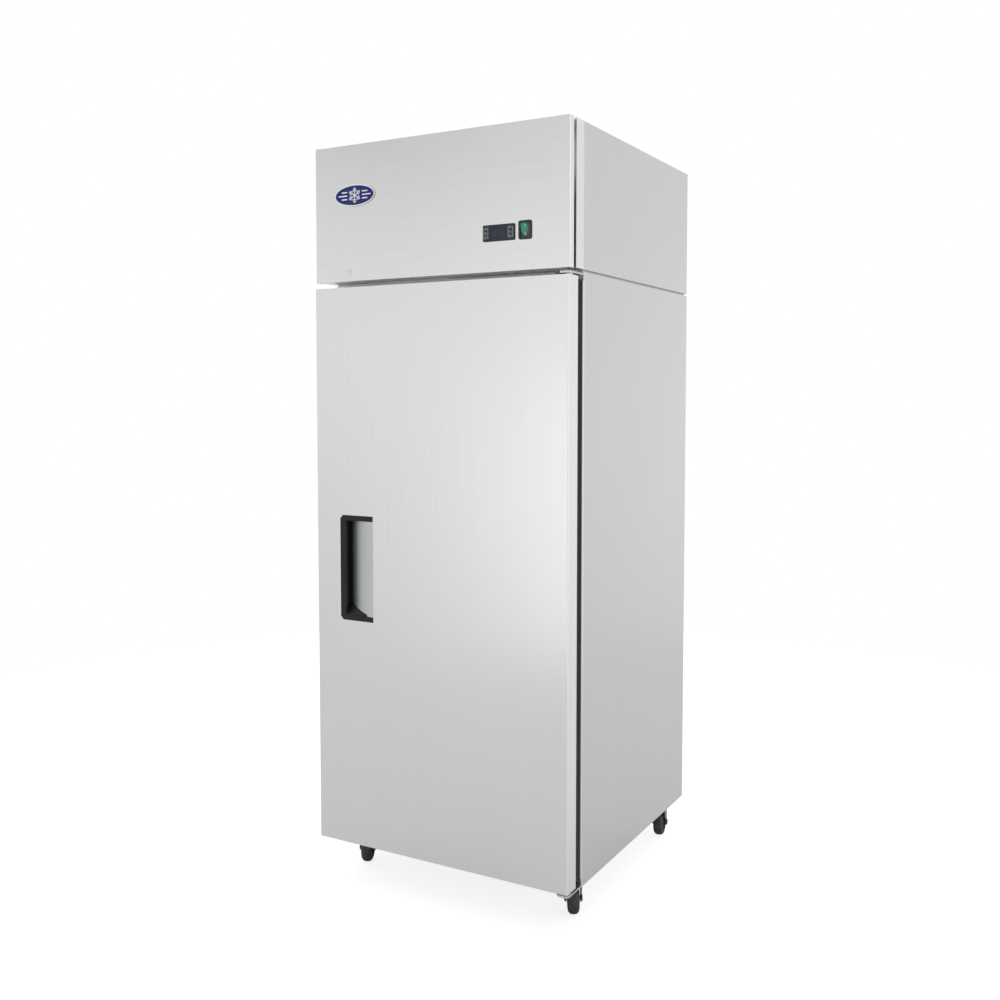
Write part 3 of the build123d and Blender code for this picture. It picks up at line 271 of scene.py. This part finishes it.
def finned(name, colour):
    """Aluminium fins, with the fine pressed lines of the fin pack between the modelled ones, and painted shade in
    the gaps between them.
    """
    fin_scale = 160.0
    dust_colour = (0.33, 0.32, 0.3)
    look = Look(name, colour, 0.34, metallic=1.0)
    wave = look.nodes.new("ShaderNodeTexWave")
    wave.bands_direction = "X"
    wave.inputs["Scale"].default_value = fin_scale
    look.links.new(look.place(), wave.inputs["Vector"])
    dust = look.noise((30, 30, 12), detail=4.0)
    # painted shade: dark stripes for the gaps between the fins
    look.tint(wave.outputs["Fac"], shade(colour, 0.45), shade(colour, 1.05), 0.1, 0.6)
    look.cover(look.remap(dust, 0.0, 0.4, 0.45, 0.8), dust_colour)
    look.vary_roughness(dust, 0.1)
    look.bump(wave.outputs["Fac"], 0.3 * MM)
    return look


def copper_tube(name, colour):
    """Drawn copper with brown oxide patches."""
    look = Look(name, colour, 0.26, metallic=1.0)
    patches = look.noise((22, 22, 22), detail=5.0)
    fine = look.noise((300, 300, 300))
    look.tint(patches, shade(colour, 0.5), shade(colour, 1.08), 0.35, 0.62)
    look.vary_roughness(patches, 0.12)
    look.bump(fine, 0.03 * MM)
    return look


def enamelled(name, colour, roughness, edge_metal=None, peel=0.05 * MM):
    """Paint on metal: orange peel, slight fading, and edges that may be rubbed through to the metal."""
    look = Look(name, colour, roughness, Coat_Weight=0.25, Coat_Roughness=0.2)
    edge_mask = look.soften_edges(0.9 * MM)
    fading = look.noise((14, 14, 14), detail=4.0)
    orange_peel = look.noise((420, 420, 420))
    look.tint(fading, shade(colour, 0.78), shade(colour, 1.3))
    if edge_metal is not None:
        patches = look.remap(look.noise((160, 160, 160), detail=3.0), 0.0, 0.8, 0.4, 0.6)
        look.cover(look.math("MULTIPLY", edge_mask, patches), edge_metal)
    look.vary_roughness(fading, 0.07)
    look.bump(orange_peel, peel)
    return look


# ---------------------------------------------------------------- plastics, rubber and foam
def moulded(name, colour, roughness, grain=0.5 * MM, relief=0.03 * MM, edge_light=1.6, **sockets):
    """Moulded plastic: fine spark-eroded grain, slight flow marks and paler rubbed edges."""
    look = Look(name, colour, roughness, **sockets)
    edge_mask = look.soften_edges(0.6 * MM)
    flow = look.noise((18, 18, 18), detail=3.0)
    look.tint(flow, shade(colour, 0.86), shade(colour, 1.16))
    look.cover(look.math("MULTIPLY", edge_mask, 0.55), shade(colour, edge_light))
    look.vary_roughness(flow, 0.05)
    look.bump(look.cells(grain), relief)
    return look


def rubber(name, colour):
    """Soft seal: matt, with extrusion lines and a chalky bloom."""
    look = Look(name, colour, 0.62, Sheen_Weight=0.15)
    lines = look.noise((700, 700, 700), detail=2.0)
    bloom = look.noise((30, 30, 12), detail=4.0)
    look.tint(bloom, shade(colour, 0.8), shade(colour, 1.5))
    look.vary_roughness(bloom, 0.08)
    look.bump(lines, 0.05 * MM)
    return look


def foamed(name, colour):
    """Rigid foam: pores and a browned skin."""
    look = Look(name, colour, 0.9)
    pores = look.cells(1.4 * MM)
    skin = look.noise((12, 12, 12), detail=5.0)
    look.tint(skin, shade(colour, 0.75), shade(colour, 1.1))
    look.vary_roughness(skin, 0.05)
    look.bump(pores, 0.5 * MM)
    return look


def seal(name, colour, head_y):
    """Door seal with painted shade: the magnet strip that meets the cabinet, deep in the gap, is painted darker
    than the bellows in front of it.
    """
    blend = 0.4 * MM
    look = rubber(name, colour)
    head = look.remap(look.axis("y"), 0.0, 1.0, head_y - blend, head_y + blend)
    # painted shade over the strip that meets the cabinet
    look.cover(head, shade(colour, 0.35))
    return look


def badge(name, colour, rim, field_y):
    """Enamelled badge with a plain raised rim, told apart by how far the rim stands out."""
    rim_top, rim_foot = field_y - 0.35 * MM, field_y - 0.15 * MM
    look = Look(name, colour, 0.35, Specular_IOR_Level=0.2)
    cloud = look.noise((60, 60, 60), detail=3.0)
    look.tint(cloud, shade(colour, 0.8), shade(colour, 1.35))
    look.cover(look.remap(look.axis("y"), 1.0, 0.0, rim_top, rim_foot), rim)
    look.vary_roughness(cloud, 0.04)
    look.bump(look.noise((200, 200, 200)), 0.02 * MM)
    return look


def lens(name, colour, centre):
    """Clear green rocker with painted light: a painted highlight round its upper left part, and painted shade,
    nearly black, away from it.
    """
    # where the painted highlight sits, left of and above the rocker's middle, and how far it spreads
    highlight_left, highlight_up = 3 * MM, 5 * MM
    highlight_half_width, highlight_half_height = 11 * MM, 15 * MM
    look = Look(name, colour, 0.2, Coat_Weight=0.3)
    cloud = look.noise((60, 60, 60), detail=3.0)
    look.tint(cloud, shade(colour, 0.85), shade(colour, 1.2))
    across = look.math("ADD", look.axis("x"), -centre.x + highlight_left)
    along = look.math("ADD", look.axis("z"), -centre.z - highlight_up)
    across_share = look.math("MULTIPLY", across, 1 / highlight_half_width)
    along_share = look.math("MULTIPLY", along, 1 / highlight_half_height)
    far = look.math("ADD", look.math("POWER", across_share, 2.0), look.math("POWER", along_share, 2.0))
    # painted shade: the rocker is painted nearly black away from its painted highlight
    look.cover(look.remap(far, 0.0, 0.9, 0.55, 1.15), shade(colour, 0.12))
    look.vary_roughness(cloud, 0.04)
    look.bump(look.noise((200, 200, 200)), 0.01 * MM)
    return look


def caster_wheel(name, tread, hub, joint):
    """Moulded wheel: a dark rubber tread with fine moulding lines round a black plastic centre."""
    hub_radius, blend, line_pitch = 29 * MM, 0.5 * MM, 2.2 * MM
    look = Look(name, tread, 0.5)
    centre = Vector(joint["pos_m"])
    axle = Vector(joint["axis"])
    offset = look.nodes.new("ShaderNodeVectorMath")
    offset.operation = "SUBTRACT"
    look.links.new(look.place(), offset.inputs[0])
    offset.inputs[1].default_value = centre
    across = look.nodes.new("ShaderNodeVectorMath")
    across.operation = "CROSS_PRODUCT"
    look.links.new(offset.outputs["Vector"], across.inputs[0])
    across.inputs[1].default_value = axle
    radius = look.nodes.new("ShaderNodeVectorMath")
    radius.operation = "LENGTH"
    look.links.new(across.outputs["Vector"], radius.inputs[0])
    scuffs = look.noise((90, 90, 90), detail=4.0)
    look.tint(scuffs, shade(tread, 0.7), shade(tread, 1.5))
    look.cover(look.remap(radius.outputs["Value"], 1.0, 0.0, hub_radius - blend, hub_radius + blend), hub)
    rings = look.math("SINE", look.math("MULTIPLY", radius.outputs["Value"], 2 * pi / line_pitch))
    look.vary_roughness(scuffs, 0.1)
    look.bump(rings, 0.06 * MM)
    return look


# ---------------------------------------------------------------- one finish for each slot of the record
emblem_field_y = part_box("fascia_panel")[0].y - 1.2 * MM
# where the seal's painted shade begins, towards the cabinet
gasket_head_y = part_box("door_gasket")[1].y - 6 * MM
front_steel = (0.74, 0.732, 0.735)
# past this X the door and fascia steel gets a painted highlight on its side returns
front_returns = cad_high.x - 1.5 * MM

finishes = {
    "door_steel": brushed("door_steel", front_steel, 0.22, "z", returns=front_returns),
    "fascia_steel": brushed("fascia_steel", front_steel, 0.2, "x", returns=front_returns),
    # the side panels get the strongest painted highlight on their edges
    "panel_steel": brushed("panel_steel", (0.685, 0.685, 0.693), 0.3, "z", painted_edge_highlight=1.0),
    "header_steel": brushed("header_steel", (0.86, 0.86, 0.865), 0.3, "z"),
    "handle_steel": brushed("handle_steel", (0.56, 0.58, 0.58), 0.5, "z"),
    "liner_metal": brushed("liner_metal", (0.72, 0.73, 0.74), 0.3, "y"),
    "zinc_steel": galvanised("zinc_steel", (0.58, 0.6, 0.61)),
    "bracket_steel": plated("bracket_steel", (0.6, 0.64, 0.68), 0.24, (0.4, 0.45, 0.5)),
    "bright_screws": plated("bright_screws", (0.7, 0.71, 0.72), 0.22, (0.55, 0.56, 0.56)),
    "lock_chrome": plated("lock_chrome", (0.75, 0.76, 0.77), 0.12, (0.68, 0.69, 0.7)),
    "coil_fins": finned("coil_fins", (0.74, 0.75, 0.76)),
    "copper": copper_tube("copper", (0.72, 0.38, 0.24)),
    "black_metal": enamelled("black_metal", (0.02, 0.02, 0.023), 0.32, (0.3, 0.3, 0.3)),
    "grey_metal": enamelled("grey_metal", (0.36, 0.38, 0.4), 0.45, (0.6, 0.6, 0.6)),
    "shelf_wire": enamelled("shelf_wire", (0.72, 0.74, 0.75), 0.3, None, 0.02 * MM),
    "caster_black": enamelled("caster_black", (0.022, 0.024, 0.027), 0.38, (0.34, 0.35, 0.36)),
    "pedal_black": enamelled("pedal_black", (0.02, 0.022, 0.026), 0.36, (0.45, 0.47, 0.48)),
    "white_plastic": moulded("white_plastic", (0.78, 0.79, 0.8), 0.35, edge_light=1.1),
    "fan_plastic": moulded("fan_plastic", (0.03, 0.03, 0.034), 0.5),
    "liner_plastic": moulded("liner_plastic", (0.12, 0.13, 0.14), 0.45, 1.2 * MM, 0.08 * MM, 1.4),
    "handle_black": moulded("handle_black", (0.01, 0.0125, 0.015), 0.45,
                            edge_light=2.2, Specular_IOR_Level=0.25),
    "controller_slate": moulded("controller_slate", (0.017, 0.025, 0.032), 0.36, 0.4 * MM, 0.02 * MM, 4.0,
                                Specular_IOR_Level=0.3),
    "key_plastic": moulded("key_plastic", (0.05, 0.075, 0.085), 0.45, 0.4 * MM, 0.02 * MM, 1.8),
    "switch_black": moulded("switch_black", (0.013, 0.012, 0.02), 0.24, 0.4 * MM, 0.01 * MM, 3.0),
    "gland_plastic": moulded("gland_plastic", (0.03, 0.03, 0.032), 0.5),
    "gasket_rubber": seal("gasket_rubber", (0.034, 0.04, 0.044), gasket_head_y),
    "foam": foamed("foam", (0.82, 0.72, 0.5)),
    "rocker_green": lens("rocker_green", (0.012, 0.23, 0.13), centre_of("switch_rocker")),
    "emblem_blue": badge("emblem_blue", (0.014, 0.024, 0.15), (0.78, 0.77, 0.7), emblem_field_y),
}

tread_rubber = (0.028, 0.031, 0.034)
hub_plastic = (0.012, 0.012, 0.014)
for name, node in frame["nodes"].items():
    slot = slot_of[name]
    if slot == "wheel_rubber":
        roll = joint_of[name.replace("caster_wheel_", "") + "_roll"]
        look = caster_wheel(name, tread_rubber, hub_plastic, roll)
    else:
        look = finishes[slot]
    for material_slot in node.material_slots:
        material_slot.material = look.material

# finishes of the pieces that this script adds
prints = {
    "white_print": enamelled("white_print", (0.86, 0.87, 0.86), 0.3, None, 0.01 * MM).material,
    "key_print": enamelled("key_print", (0.5, 0.56, 0.54), 0.4, None, 0.01 * MM).material,
    "segment_print": enamelled("segment_print", (0.07, 0.08, 0.1), 0.4, None, 0.01 * MM).material,
    "window": moulded("window", (0.022, 0.03, 0.042), 0.16, 2 * MM, 0.004 * MM, 1.3,
                      Specular_IOR_Level=0.25).material,
    "guard": finishes["shelf_wire"].material,
}


# ---------------------------------------------------------------- mesh building blocks
def finish_piece(mesh, name, material, body):
    """Turns a mesh into a named, smooth-shaded piece that rides on a body."""
    bmesh.ops.recalc_face_normals(mesh, faces=mesh.faces)
    data = bpy.data.meshes.new(name)
    mesh.to_mesh(data)
    mesh.free()
    piece = bpy.data.objects.new(name, data)
    bpy.context.scene.collection.objects.link(piece)
    data.materials.append(material)
    data.shade_smooth()
    data.set_sharp_from_angle(angle=radians(35))
    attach(piece, body)
    return piece


def sections(mesh, rings, closed):
    """Joins rings of points into a closed tube, or one that ends in two caps."""
    rows = [[mesh.verts.new(point) for point in ring] for ring in rings]
    pairs = list(zip(rows, rows[1:]))
    if closed:
        pairs.append((rows[-1], rows[0]))
    for first, second in pairs:
        for k in range(len(first)):
            after = (k + 1) % len(first)
            mesh.faces.new((first[k], first[after], second[after], second[k]))
    if not closed:
        mesh.faces.new(rows[0])
        mesh.faces.new(rows[-1])


def front_surface(node):
    """Gives a function of X and Z that finds the Y of a CAD node's front there."""
    data = frame["nodes"][node].data
    tree = BVHTree.FromPolygons([v.co for v in data.vertices], [p.vertices for p in data.polygons])

    def at(x, z):
        hit = tree.ray_cast(Vector((x, -1.0, z)), Vector((0, 1, 0)))
        return hit[0].y

    return at


def stroke(mesh, at, points, width, closed=False, lift=0.12 * MM):
    """A raised line along points in X and Z, laid at the depth that at gives, with rounded ends."""
    path = [Vector((x, 0, z)) for x, z in points]
    count = len(path)
    rings = []
    stations = [(k, 1.0, 0.0) for k in range(count)]
    if not closed:
        turns = [radians(a) for a in (80, 55, 30)]
        head = [(0, cos(a), -sin(a)) for a in turns]
        tail = [(count - 1, cos(a), sin(a)) for a in reversed(turns)]
        stations = head + stations + tail
    for k, share, beyond in stations:
        before = path[(k - 1) % count] if closed or k > 0 else path[k]
        after = path[(k + 1) % count] if closed or k < count - 1 else path[k]
        along = (after - before).normalized()
        side = Vector((-along.z, 0, along.x))
        centre = path[k] + along * (beyond * width / 2)
        ring = []
        for reach, height in ((-1, -0.3), (-0.8, 1), (0.8, 1), (1, -0.3)):
            point = centre + side * (reach * share * width / 2)
            ring.append((point.x, at(point.x, point.z) - height * lift, point.z))
        rings.append(ring)
    sections(mesh, rings, closed)


def polar(x, z, radius, turn):
    """The place at a distance and a turn from X and Z."""
    return (x + radius * cos(turn), z + radius * sin(turn))


def circle(x, z, radius, count):
    """Points round a circle."""
    return [polar(x, z, radius, 2 * pi * k / count) for k in range(count)]


def line(start, end, count=6):
    """Evenly spaced points from start to end."""
    return [tuple(a + (b - a) * k / (count - 1) for a, b in zip(start, end)) for k in range(count)]


def rounded_outline(half_width, half_height, corner):
    """Points round a rectangle about 0, 0 with rounded corners, five points to each corner."""
    outline = []
    for sx, sz, start in ((1, 1, 0), (-1, 1, 90), (-1, -1, 180), (1, -1, 270)):
        for step in range(5):
            turn = radians(start + 22.5 * step)
            outline.append(polar(sx * (half_width - corner), sz * (half_height - corner), corner, turn))
    return outline


def printed(name, node, body, strokes, material, lift=0.12 * MM):
    """A piece made of several printed lines on one node's front."""
    mesh = bmesh.new()
    at = front_surface(node)
    for points, width, closed in strokes:
        stroke(mesh, at, points, width, closed, lift)
    return finish_piece(mesh, name, prints[material], body)


def tube(mesh, points, radius, closed=False, sides=12):
    """A round wire along points."""
    count = len(points)
    rings = []
    for k, point in enumerate(points):
        before = points[(k - 1) % count] if closed or k > 0 else point
        after = points[(k + 1) % count] if closed or k < count - 1 else point
        along = (after - before).normalized()
        side = along.cross(Vector((0, 1, 0))).normalized()
        up = along.cross(side)
        turn = [2 * pi * s / sides for s in range(sides)]
        rings.append([point + side * (radius * cos(a)) + up * (radius * sin(a)) for a in turn])
    sections(mesh, rings, closed)


# ---------------------------------------------------------------- emblem: a plain snowflake between air lines
def add_emblem():
    middle = centre_of("emblem_plate")
    x, z = middle.x, middle.z
    reach = 19 * MM
    arm_width, branch_width, air_line_width = 2.8 * MM, 2.2 * MM, 3.4 * MM
    hub_share = 0.08
    branch_shares = ((0.48, 0.34), (0.74, 0.24))    # of the reach: where a pair starts, and its length
    branch_lean = radians(58)
    air_lines = ((9, 15), (0, 25), (-9, 15))        # height and length, in mm
    air_line_start = 25 * MM
    strokes = []
    for arm in range(6):
        turn = radians(90 + 60 * arm)
        spine = line(polar(x, z, hub_share * reach, turn), polar(x, z, reach, turn))
        strokes.append((spine, arm_width, False))
        for start, length in branch_shares:
            root = polar(x, z, start * reach, turn)
            for side in (-1, 1):
                end = polar(*root, length * reach, turn + side * branch_lean)
                strokes.append((line(root, end, 4), branch_width, False))
    for side in (-1, 1):
        for height, length in air_lines:
            near = (x + side * air_line_start, z + height * MM)
            far = (x + side * (air_line_start + length * MM), z + height * MM)
            strokes.append((line(near, far), air_line_width, False))
    printed("emblem_snowflake", "emblem_plate", "fascia", strokes, "white_print", 0.35 * MM)


# ---------------------------------------------------------------- controller: window, figures, key prints
def add_window(middle, seat):
    """The display's pane: rounded corners and an eased front edge, standing forward of its seat."""
    half_width, half_height, proud = 23.2 * MM, 13.7 * MM, 0.85 * MM
    outline = rounded_outline(half_width, half_height, 1.5 * MM)
    rings = []
    for inset, height in ((0.0, 0.0), (0.0, 0.55 * MM), (0.25 * MM, 0.75 * MM), (0.6 * MM, proud)):
        across, up = 1 - inset / half_width, 1 - inset / half_height
        rings.append([(middle.x + px * across, seat - height, middle.z + pz * up) for px, pz in outline])
    mesh = bmesh.new()
    sections(mesh, rings, False)
    finish_piece(mesh, "display_window", prints["window"], "fascia")
    return seat - proud


def add_figures(middle, front):
    """Three unlit seven-segment figures, printed as faint lines on the front of the pane."""
    half_width, half_height = 3.25 * MM, 7 * MM
    pitch, first = 12 * MM, middle.x - 11.8 * MM
    gap = 0.16
    mesh = bmesh.new()
    for place in range(3):
        x, z = first + place * pitch, middle.z
        left, right = x - half_width, x + half_width
        ends = [((left, z + row * half_height), (right, z + row * half_height)) for row in (-1, 0, 1)]
        ends += [((post, z), (post, z + row * half_height)) for post in (left, right) for row in (-1, 1)]
        for start, end in ends:
            near, far = (tuple(a + (b - a) * share for a, b in zip(start, end)) for share in (gap, 1 - gap))
            stroke(mesh, lambda px, pz: front, line(near, far, 5), 1.1 * MM, False, 0.05 * MM)
    finish_piece(mesh, "display_segments", prints["segment_print"], "fascia")


def add_keypad_outline(column):
    """A line round a column of three keys, drawn in between the keys and rounded off at both ends."""
    top, middle = (centre_of(f"key_{column}_{row}") for row in ("top", "middle"))
    pitch = top.z - middle.z
    half_width, half_height = 7.1 * MM, pitch + 3.7 * MM
    waist, rounding, rounded_from = 0.9 * MM, 2.0 * MM, 0.86
    count = 18
    points = []
    for side in (1, -1):
        for k in range(count + 1):
            along = side * (1 - 2 * k / count)
            up = along * half_height
            between_keys = (1 - abs(cos(pi * up / pitch))) ** 0.8
            near_end = max(0.0, abs(along) - rounded_from) / (1 - rounded_from)
            reach = half_width - waist * between_keys - rounding * near_end
            points.append((middle.x + side * reach, middle.z + up))
    printed(f"keypad_outline_{column}", "controller_housing", "fascia", [(points, 1.3 * MM, True)],
            "key_print", 0.1 * MM)


mark_width = 0.8 * MM
mark_half = 2.6 * MM


def arrow(x, z, way):
    """An arrow head, which points up where way is 1 and down where it is -1."""
    tip = (x, z + way * 1.5 * MM)
    left, right = ((x + side * mark_half, z - way * 1.2 * MM) for side in (-1, 1))
    return [(line(left, tip, 4), mark_width, False), (line(tip, right, 4), mark_width, False)]


def arrow_up(x, z):
    return arrow(x, z, 1)


def arrow_down(x, z):
    return arrow(x, z, -1)


def ring(x, z):
    return [(circle(x, z, 1.6 * MM, 20), mark_width, True)]


def two_bars(x, z):
    heights = (z + 1 * MM, z - 1 * MM)
    return [(line((x - mark_half, bar), (x + mark_half, bar), 4), mark_width, False) for bar in heights]


def star(x, z):
    """Three thin lines that cross at the middle."""
    radius = 1.8 * MM
    turns = [radians(angle) for angle in (30, 90, 150)]
    return [(line(polar(x, z, radius, a), polar(x, z, -radius, a), 4), 0.6 * MM, False) for a in turns]


def open_ring(x, z):
    """A ring with a gap, and a short upright line from its middle."""
    return [(circle(x, z, 1.7 * MM, 20)[3:18], mark_width, False),
            (line((x, z + 0.3 * MM), (x, z + 2.2 * MM), 3), mark_width, False)]


key_marks = {
    "left_top": arrow_up,
    "left_middle": ring,
    "left_bottom": arrow_down,
    "right_top": two_bars,
    "right_middle": star,
    "right_bottom": open_ring,
}


def add_controller():
    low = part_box("controller_housing")[0]
    middle = centre_of("controller_housing")
    pane_front = add_window(middle, low.y + 1.0 * MM)
    add_figures(middle, pane_front)
    for column in ("left", "right"):
        add_keypad_outline(column)
    for place, mark in key_marks.items():
        key = centre_of(f"key_{place}")
        printed(f"key_mark_{place}", f"key_{place}", f"{place}_key", mark(key.x, key.z), "key_print",
                0.08 * MM)


# ---------------------------------------------------------------- switch: marks on the rocker
def add_switch_marks():
    """An upright line above the rocker's middle and a ring below it."""
    middle = centre_of("switch_rocker")
    on = line((middle.x, middle.z + 8 * MM), (middle.x, middle.z + 12.5 * MM), 5)
    off = circle(middle.x, middle.z - 9.5 * MM, 2.4 * MM, 28)
    for name, mark in (("on", (on, 1.7 * MM, False)), ("off", (off, 1.3 * MM, True))):
        printed(f"rocker_mark_{name}", "switch_rocker", "switch", [mark], "white_print")


# ---------------------------------------------------------------- handle: ramp below its scoop
def add_handle_ramp():
    """A moulded wedge that rises from the recess's front edge to the scoop, and is lower to the right.

    The scoop's front is an arc in plan: depth deep at the left end of its reach, and bend its radius.
    """
    low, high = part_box("handle_scoop")
    reach = high.x - low.x
    scoop_sheet = 2.4 * MM
    depth = high.y - low.y - scoop_sheet
    bend = (reach ** 2 + depth ** 2) / (2 * depth)
    clearance, side_gap = 0.15 * MM, 0.2 * MM
    floor = low.z - clearance
    lip = low.y + 0.8 * MM
    rise = 27 * MM
    length_share = 0.75
    rings = []
    count = 14
    for k in range(count + 1):
        across = reach * (1 - length_share * k / count) - side_gap
        face = low.y + bend - (bend ** 2 - across ** 2) ** 0.5 - clearance
        top = floor + 0.8 * MM + rise * (across / reach) ** 1.2
        x = high.x - across
        rings.append([(x, lip, floor), (x, face, floor), (x, face, top), (x, lip, floor + 0.6 * MM)])
    mesh = bmesh.new()
    sections(mesh, rings, False)
    finish_piece(mesh, "handle_ramp", finishes["handle_black"].material, "door")


# ---------------------------------------------------------------- wire guard over the evaporator fan
def add_fan_guard():
    """Round wires and six spokes, domed forward of the cover; each spoke's outer end turns back to it."""
    fan = centre_of("evaporator_fan_blade")
    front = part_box("evaporator_cover")[0].y - 2.2 * MM
    dome_height, dome_radius = 5 * MM, 70 * MM
    ring_wire, spoke_wire = 1.1 * MM, 1.3 * MM
    spoke_start, spoke_step = 8 * MM, 8.25 * MM
    spoke_behind = 1.6 * MM

    def surface(radius):
        """The place in Y of the domed guard, at a distance from its middle."""
        return front - dome_height * (1 - (radius / dome_radius) ** 2)

    mesh = bmesh.new()
    for radius in (14 * MM, 27 * MM, 40 * MM, 53 * MM, 66 * MM):
        ring_points = [Vector((x, surface(radius), z)) for x, z in circle(fan.x, fan.z, radius, 56)]
        tube(mesh, ring_points, ring_wire, closed=True)
    for k in range(6):
        turn = radians(60 * k + 30)
        outward = Vector((cos(turn), 0, sin(turn)))
        spoke = []
        for step in range(9):
            radius = spoke_start + step * spoke_step
            x, z = polar(fan.x, fan.z, radius, turn)
            spoke.append(Vector((x, surface(radius) + spoke_behind, z)))
        spoke.append(spoke[-1] + Vector((0, 1.4 * MM, 0)) + outward * 2 * MM)
        tube(mesh, spoke, spoke_wire)
    finish_piece(mesh, "evaporator_fan_guard", prints["guard"], "cabinet")


add_emblem()
add_controller()
add_switch_marks()
add_handle_ramp()
add_fan_guard()


# ---------------------------------------------------------------- studio: floor, light and camera
def add_floor():
    """A wide pale disc. To the camera it also glows, so that it reads as white with faint shadows."""
    radius = 3.2
    grey = 0.74
    glow_strength, glow_share = 1.5, 0.55
    mesh = bmesh.new()
    bmesh.ops.create_circle(mesh, cap_ends=True, segments=96, radius=radius)
    data = bpy.data.meshes.new("floor")
    mesh.to_mesh(data)
    mesh.free()
    floor = bpy.data.objects.new("floor", data)
    floor.location.z = cad_low.z
    bpy.context.scene.collection.objects.link(floor)
    material = bpy.data.materials.new("floor")
    material.use_nodes = True
    nodes, links = material.node_tree.nodes, material.node_tree.links
    shader = nodes["Principled BSDF"]
    shader.inputs["Base Color"].default_value = (grey, grey, grey, 1)
    shader.inputs["Roughness"].default_value = 0.9
    shader.inputs["Specular IOR Level"].default_value = 0.0
    glow = nodes.new("ShaderNodeEmission")
    glow.inputs["Strength"].default_value = glow_strength
    camera_ray = nodes.new("ShaderNodeLightPath").outputs["Is Camera Ray"]
    share = math_node(material.node_tree, "MULTIPLY", camera_ray, glow_share)
    mix = nodes.new("ShaderNodeMixShader")
    links.new(share, mix.inputs["Fac"])
    links.new(shader.outputs["BSDF"], mix.inputs[1])
    links.new(glow.outputs["Emission"], mix.inputs[2])
    links.new(mix.outputs["Shader"], nodes["Material Output"].inputs["Surface"])
    data.materials.append(material)


def direction(azimuth, elevation):
    """A unit vector; azimuth 0 is straight out of the door, and turns towards +X."""
    a, e = radians(azimuth), radians(elevation)
    return Vector((sin(a) * cos(e), -cos(a) * cos(e), sin(e)))


# broad soft patches of the surroundings: azimuth and elevation in degrees, sharpness, and gain,
# where a gain below 0 is a shade
patches = (
    (-19, -5, 58, 0.86),
    (-36, 16, 200, -0.25),
    (-42, 4, 60, 0.24),
    (-28, 9, 240, 0.14),
    (78, 0, 5, 0.5),
    (168, -2, 40, 0.32),
    (0, 90, 2.4, 0.45),
)
base_level = 0.7


def add_world():
    """Studio surroundings: an even base with the patches on it. The camera itself sees plain white."""
    white = (1, 1, 1, 1)
    world = bpy.data.worlds.new("studio")
    bpy.context.scene.world = world
    world.use_nodes = True
    tree = world.node_tree
    nodes, links = tree.nodes, tree.links
    nodes.clear()
    place = nodes.new("ShaderNodeTexCoord").outputs["Generated"]
    level = None
    for azimuth, elevation, sharpness, gain in patches:
        facing = nodes.new("ShaderNodeVectorMath")
        facing.operation = "DOT_PRODUCT"
        links.new(place, facing.inputs[0])
        facing.inputs[1].default_value = direction(azimuth, elevation)
        away = math_node(tree, "SUBTRACT", facing.outputs["Value"], 1.0)
        falloff = math_node(tree, "EXPONENT", math_node(tree, "MULTIPLY", away, sharpness))
        patch = math_node(tree, "MULTIPLY", falloff, gain)
        level = patch if level is None else math_node(tree, "ADD", level, patch)
    light = nodes.new("ShaderNodeBackground")
    light.inputs["Color"].default_value = white
    links.new(math_node(tree, "ADD", level, base_level), light.inputs["Strength"])
    backdrop = nodes.new("ShaderNodeBackground")
    backdrop.inputs["Color"].default_value = white
    mix = nodes.new("ShaderNodeMixShader")
    links.new(nodes.new("ShaderNodeLightPath").outputs["Is Camera Ray"], mix.inputs["Fac"])
    links.new(light.outputs["Background"], mix.inputs[1])
    links.new(backdrop.outputs["Background"], mix.inputs[2])
    links.new(mix.outputs["Shader"], nodes.new("ShaderNodeOutputWorld").inputs["Surface"])


def add_light(name, place, power):
    """A large square soft box, aimed at the middle of the cabinet."""
    size = 2.4
    aim = Vector((0, 0, 0.9))
    data = bpy.data.lights.new(name, "AREA")
    data.shape = "SQUARE"
    data.size = size
    data.energy = power
    lamp = bpy.data.objects.new(name, data)
    lamp.location = place
    lamp.rotation_euler = (aim - Vector(place)).to_track_quat("-Z", "Y").to_euler()
    bpy.context.scene.collection.objects.link(lamp)


def add_camera():
    """In front and to the right, at chest height, looking slightly down."""
    down, turned_left = 3.24, 29.44
    data = bpy.data.cameras.new("camera")
    camera = bpy.data.objects.new("camera", data)
    data.lens = 39.3
    data.sensor_width = 36.0
    data.shift_y = -0.04
    data.clip_end = 60.0
    camera.location = (1.496, -2.714, 1.322)
    camera.rotation_euler = (radians(90 - down), 0, radians(turned_left))
    bpy.context.scene.collection.objects.link(camera)
    bpy.context.scene.camera = camera


add_floor()
add_world()
add_light("soft_key", (-1.6, -1.2, 4.4), power=16)
add_light("soft_fill", (1.8, 0.4, 4.4), power=12)
add_camera()
bpy.context.scene.view_settings.view_transform = "Standard"
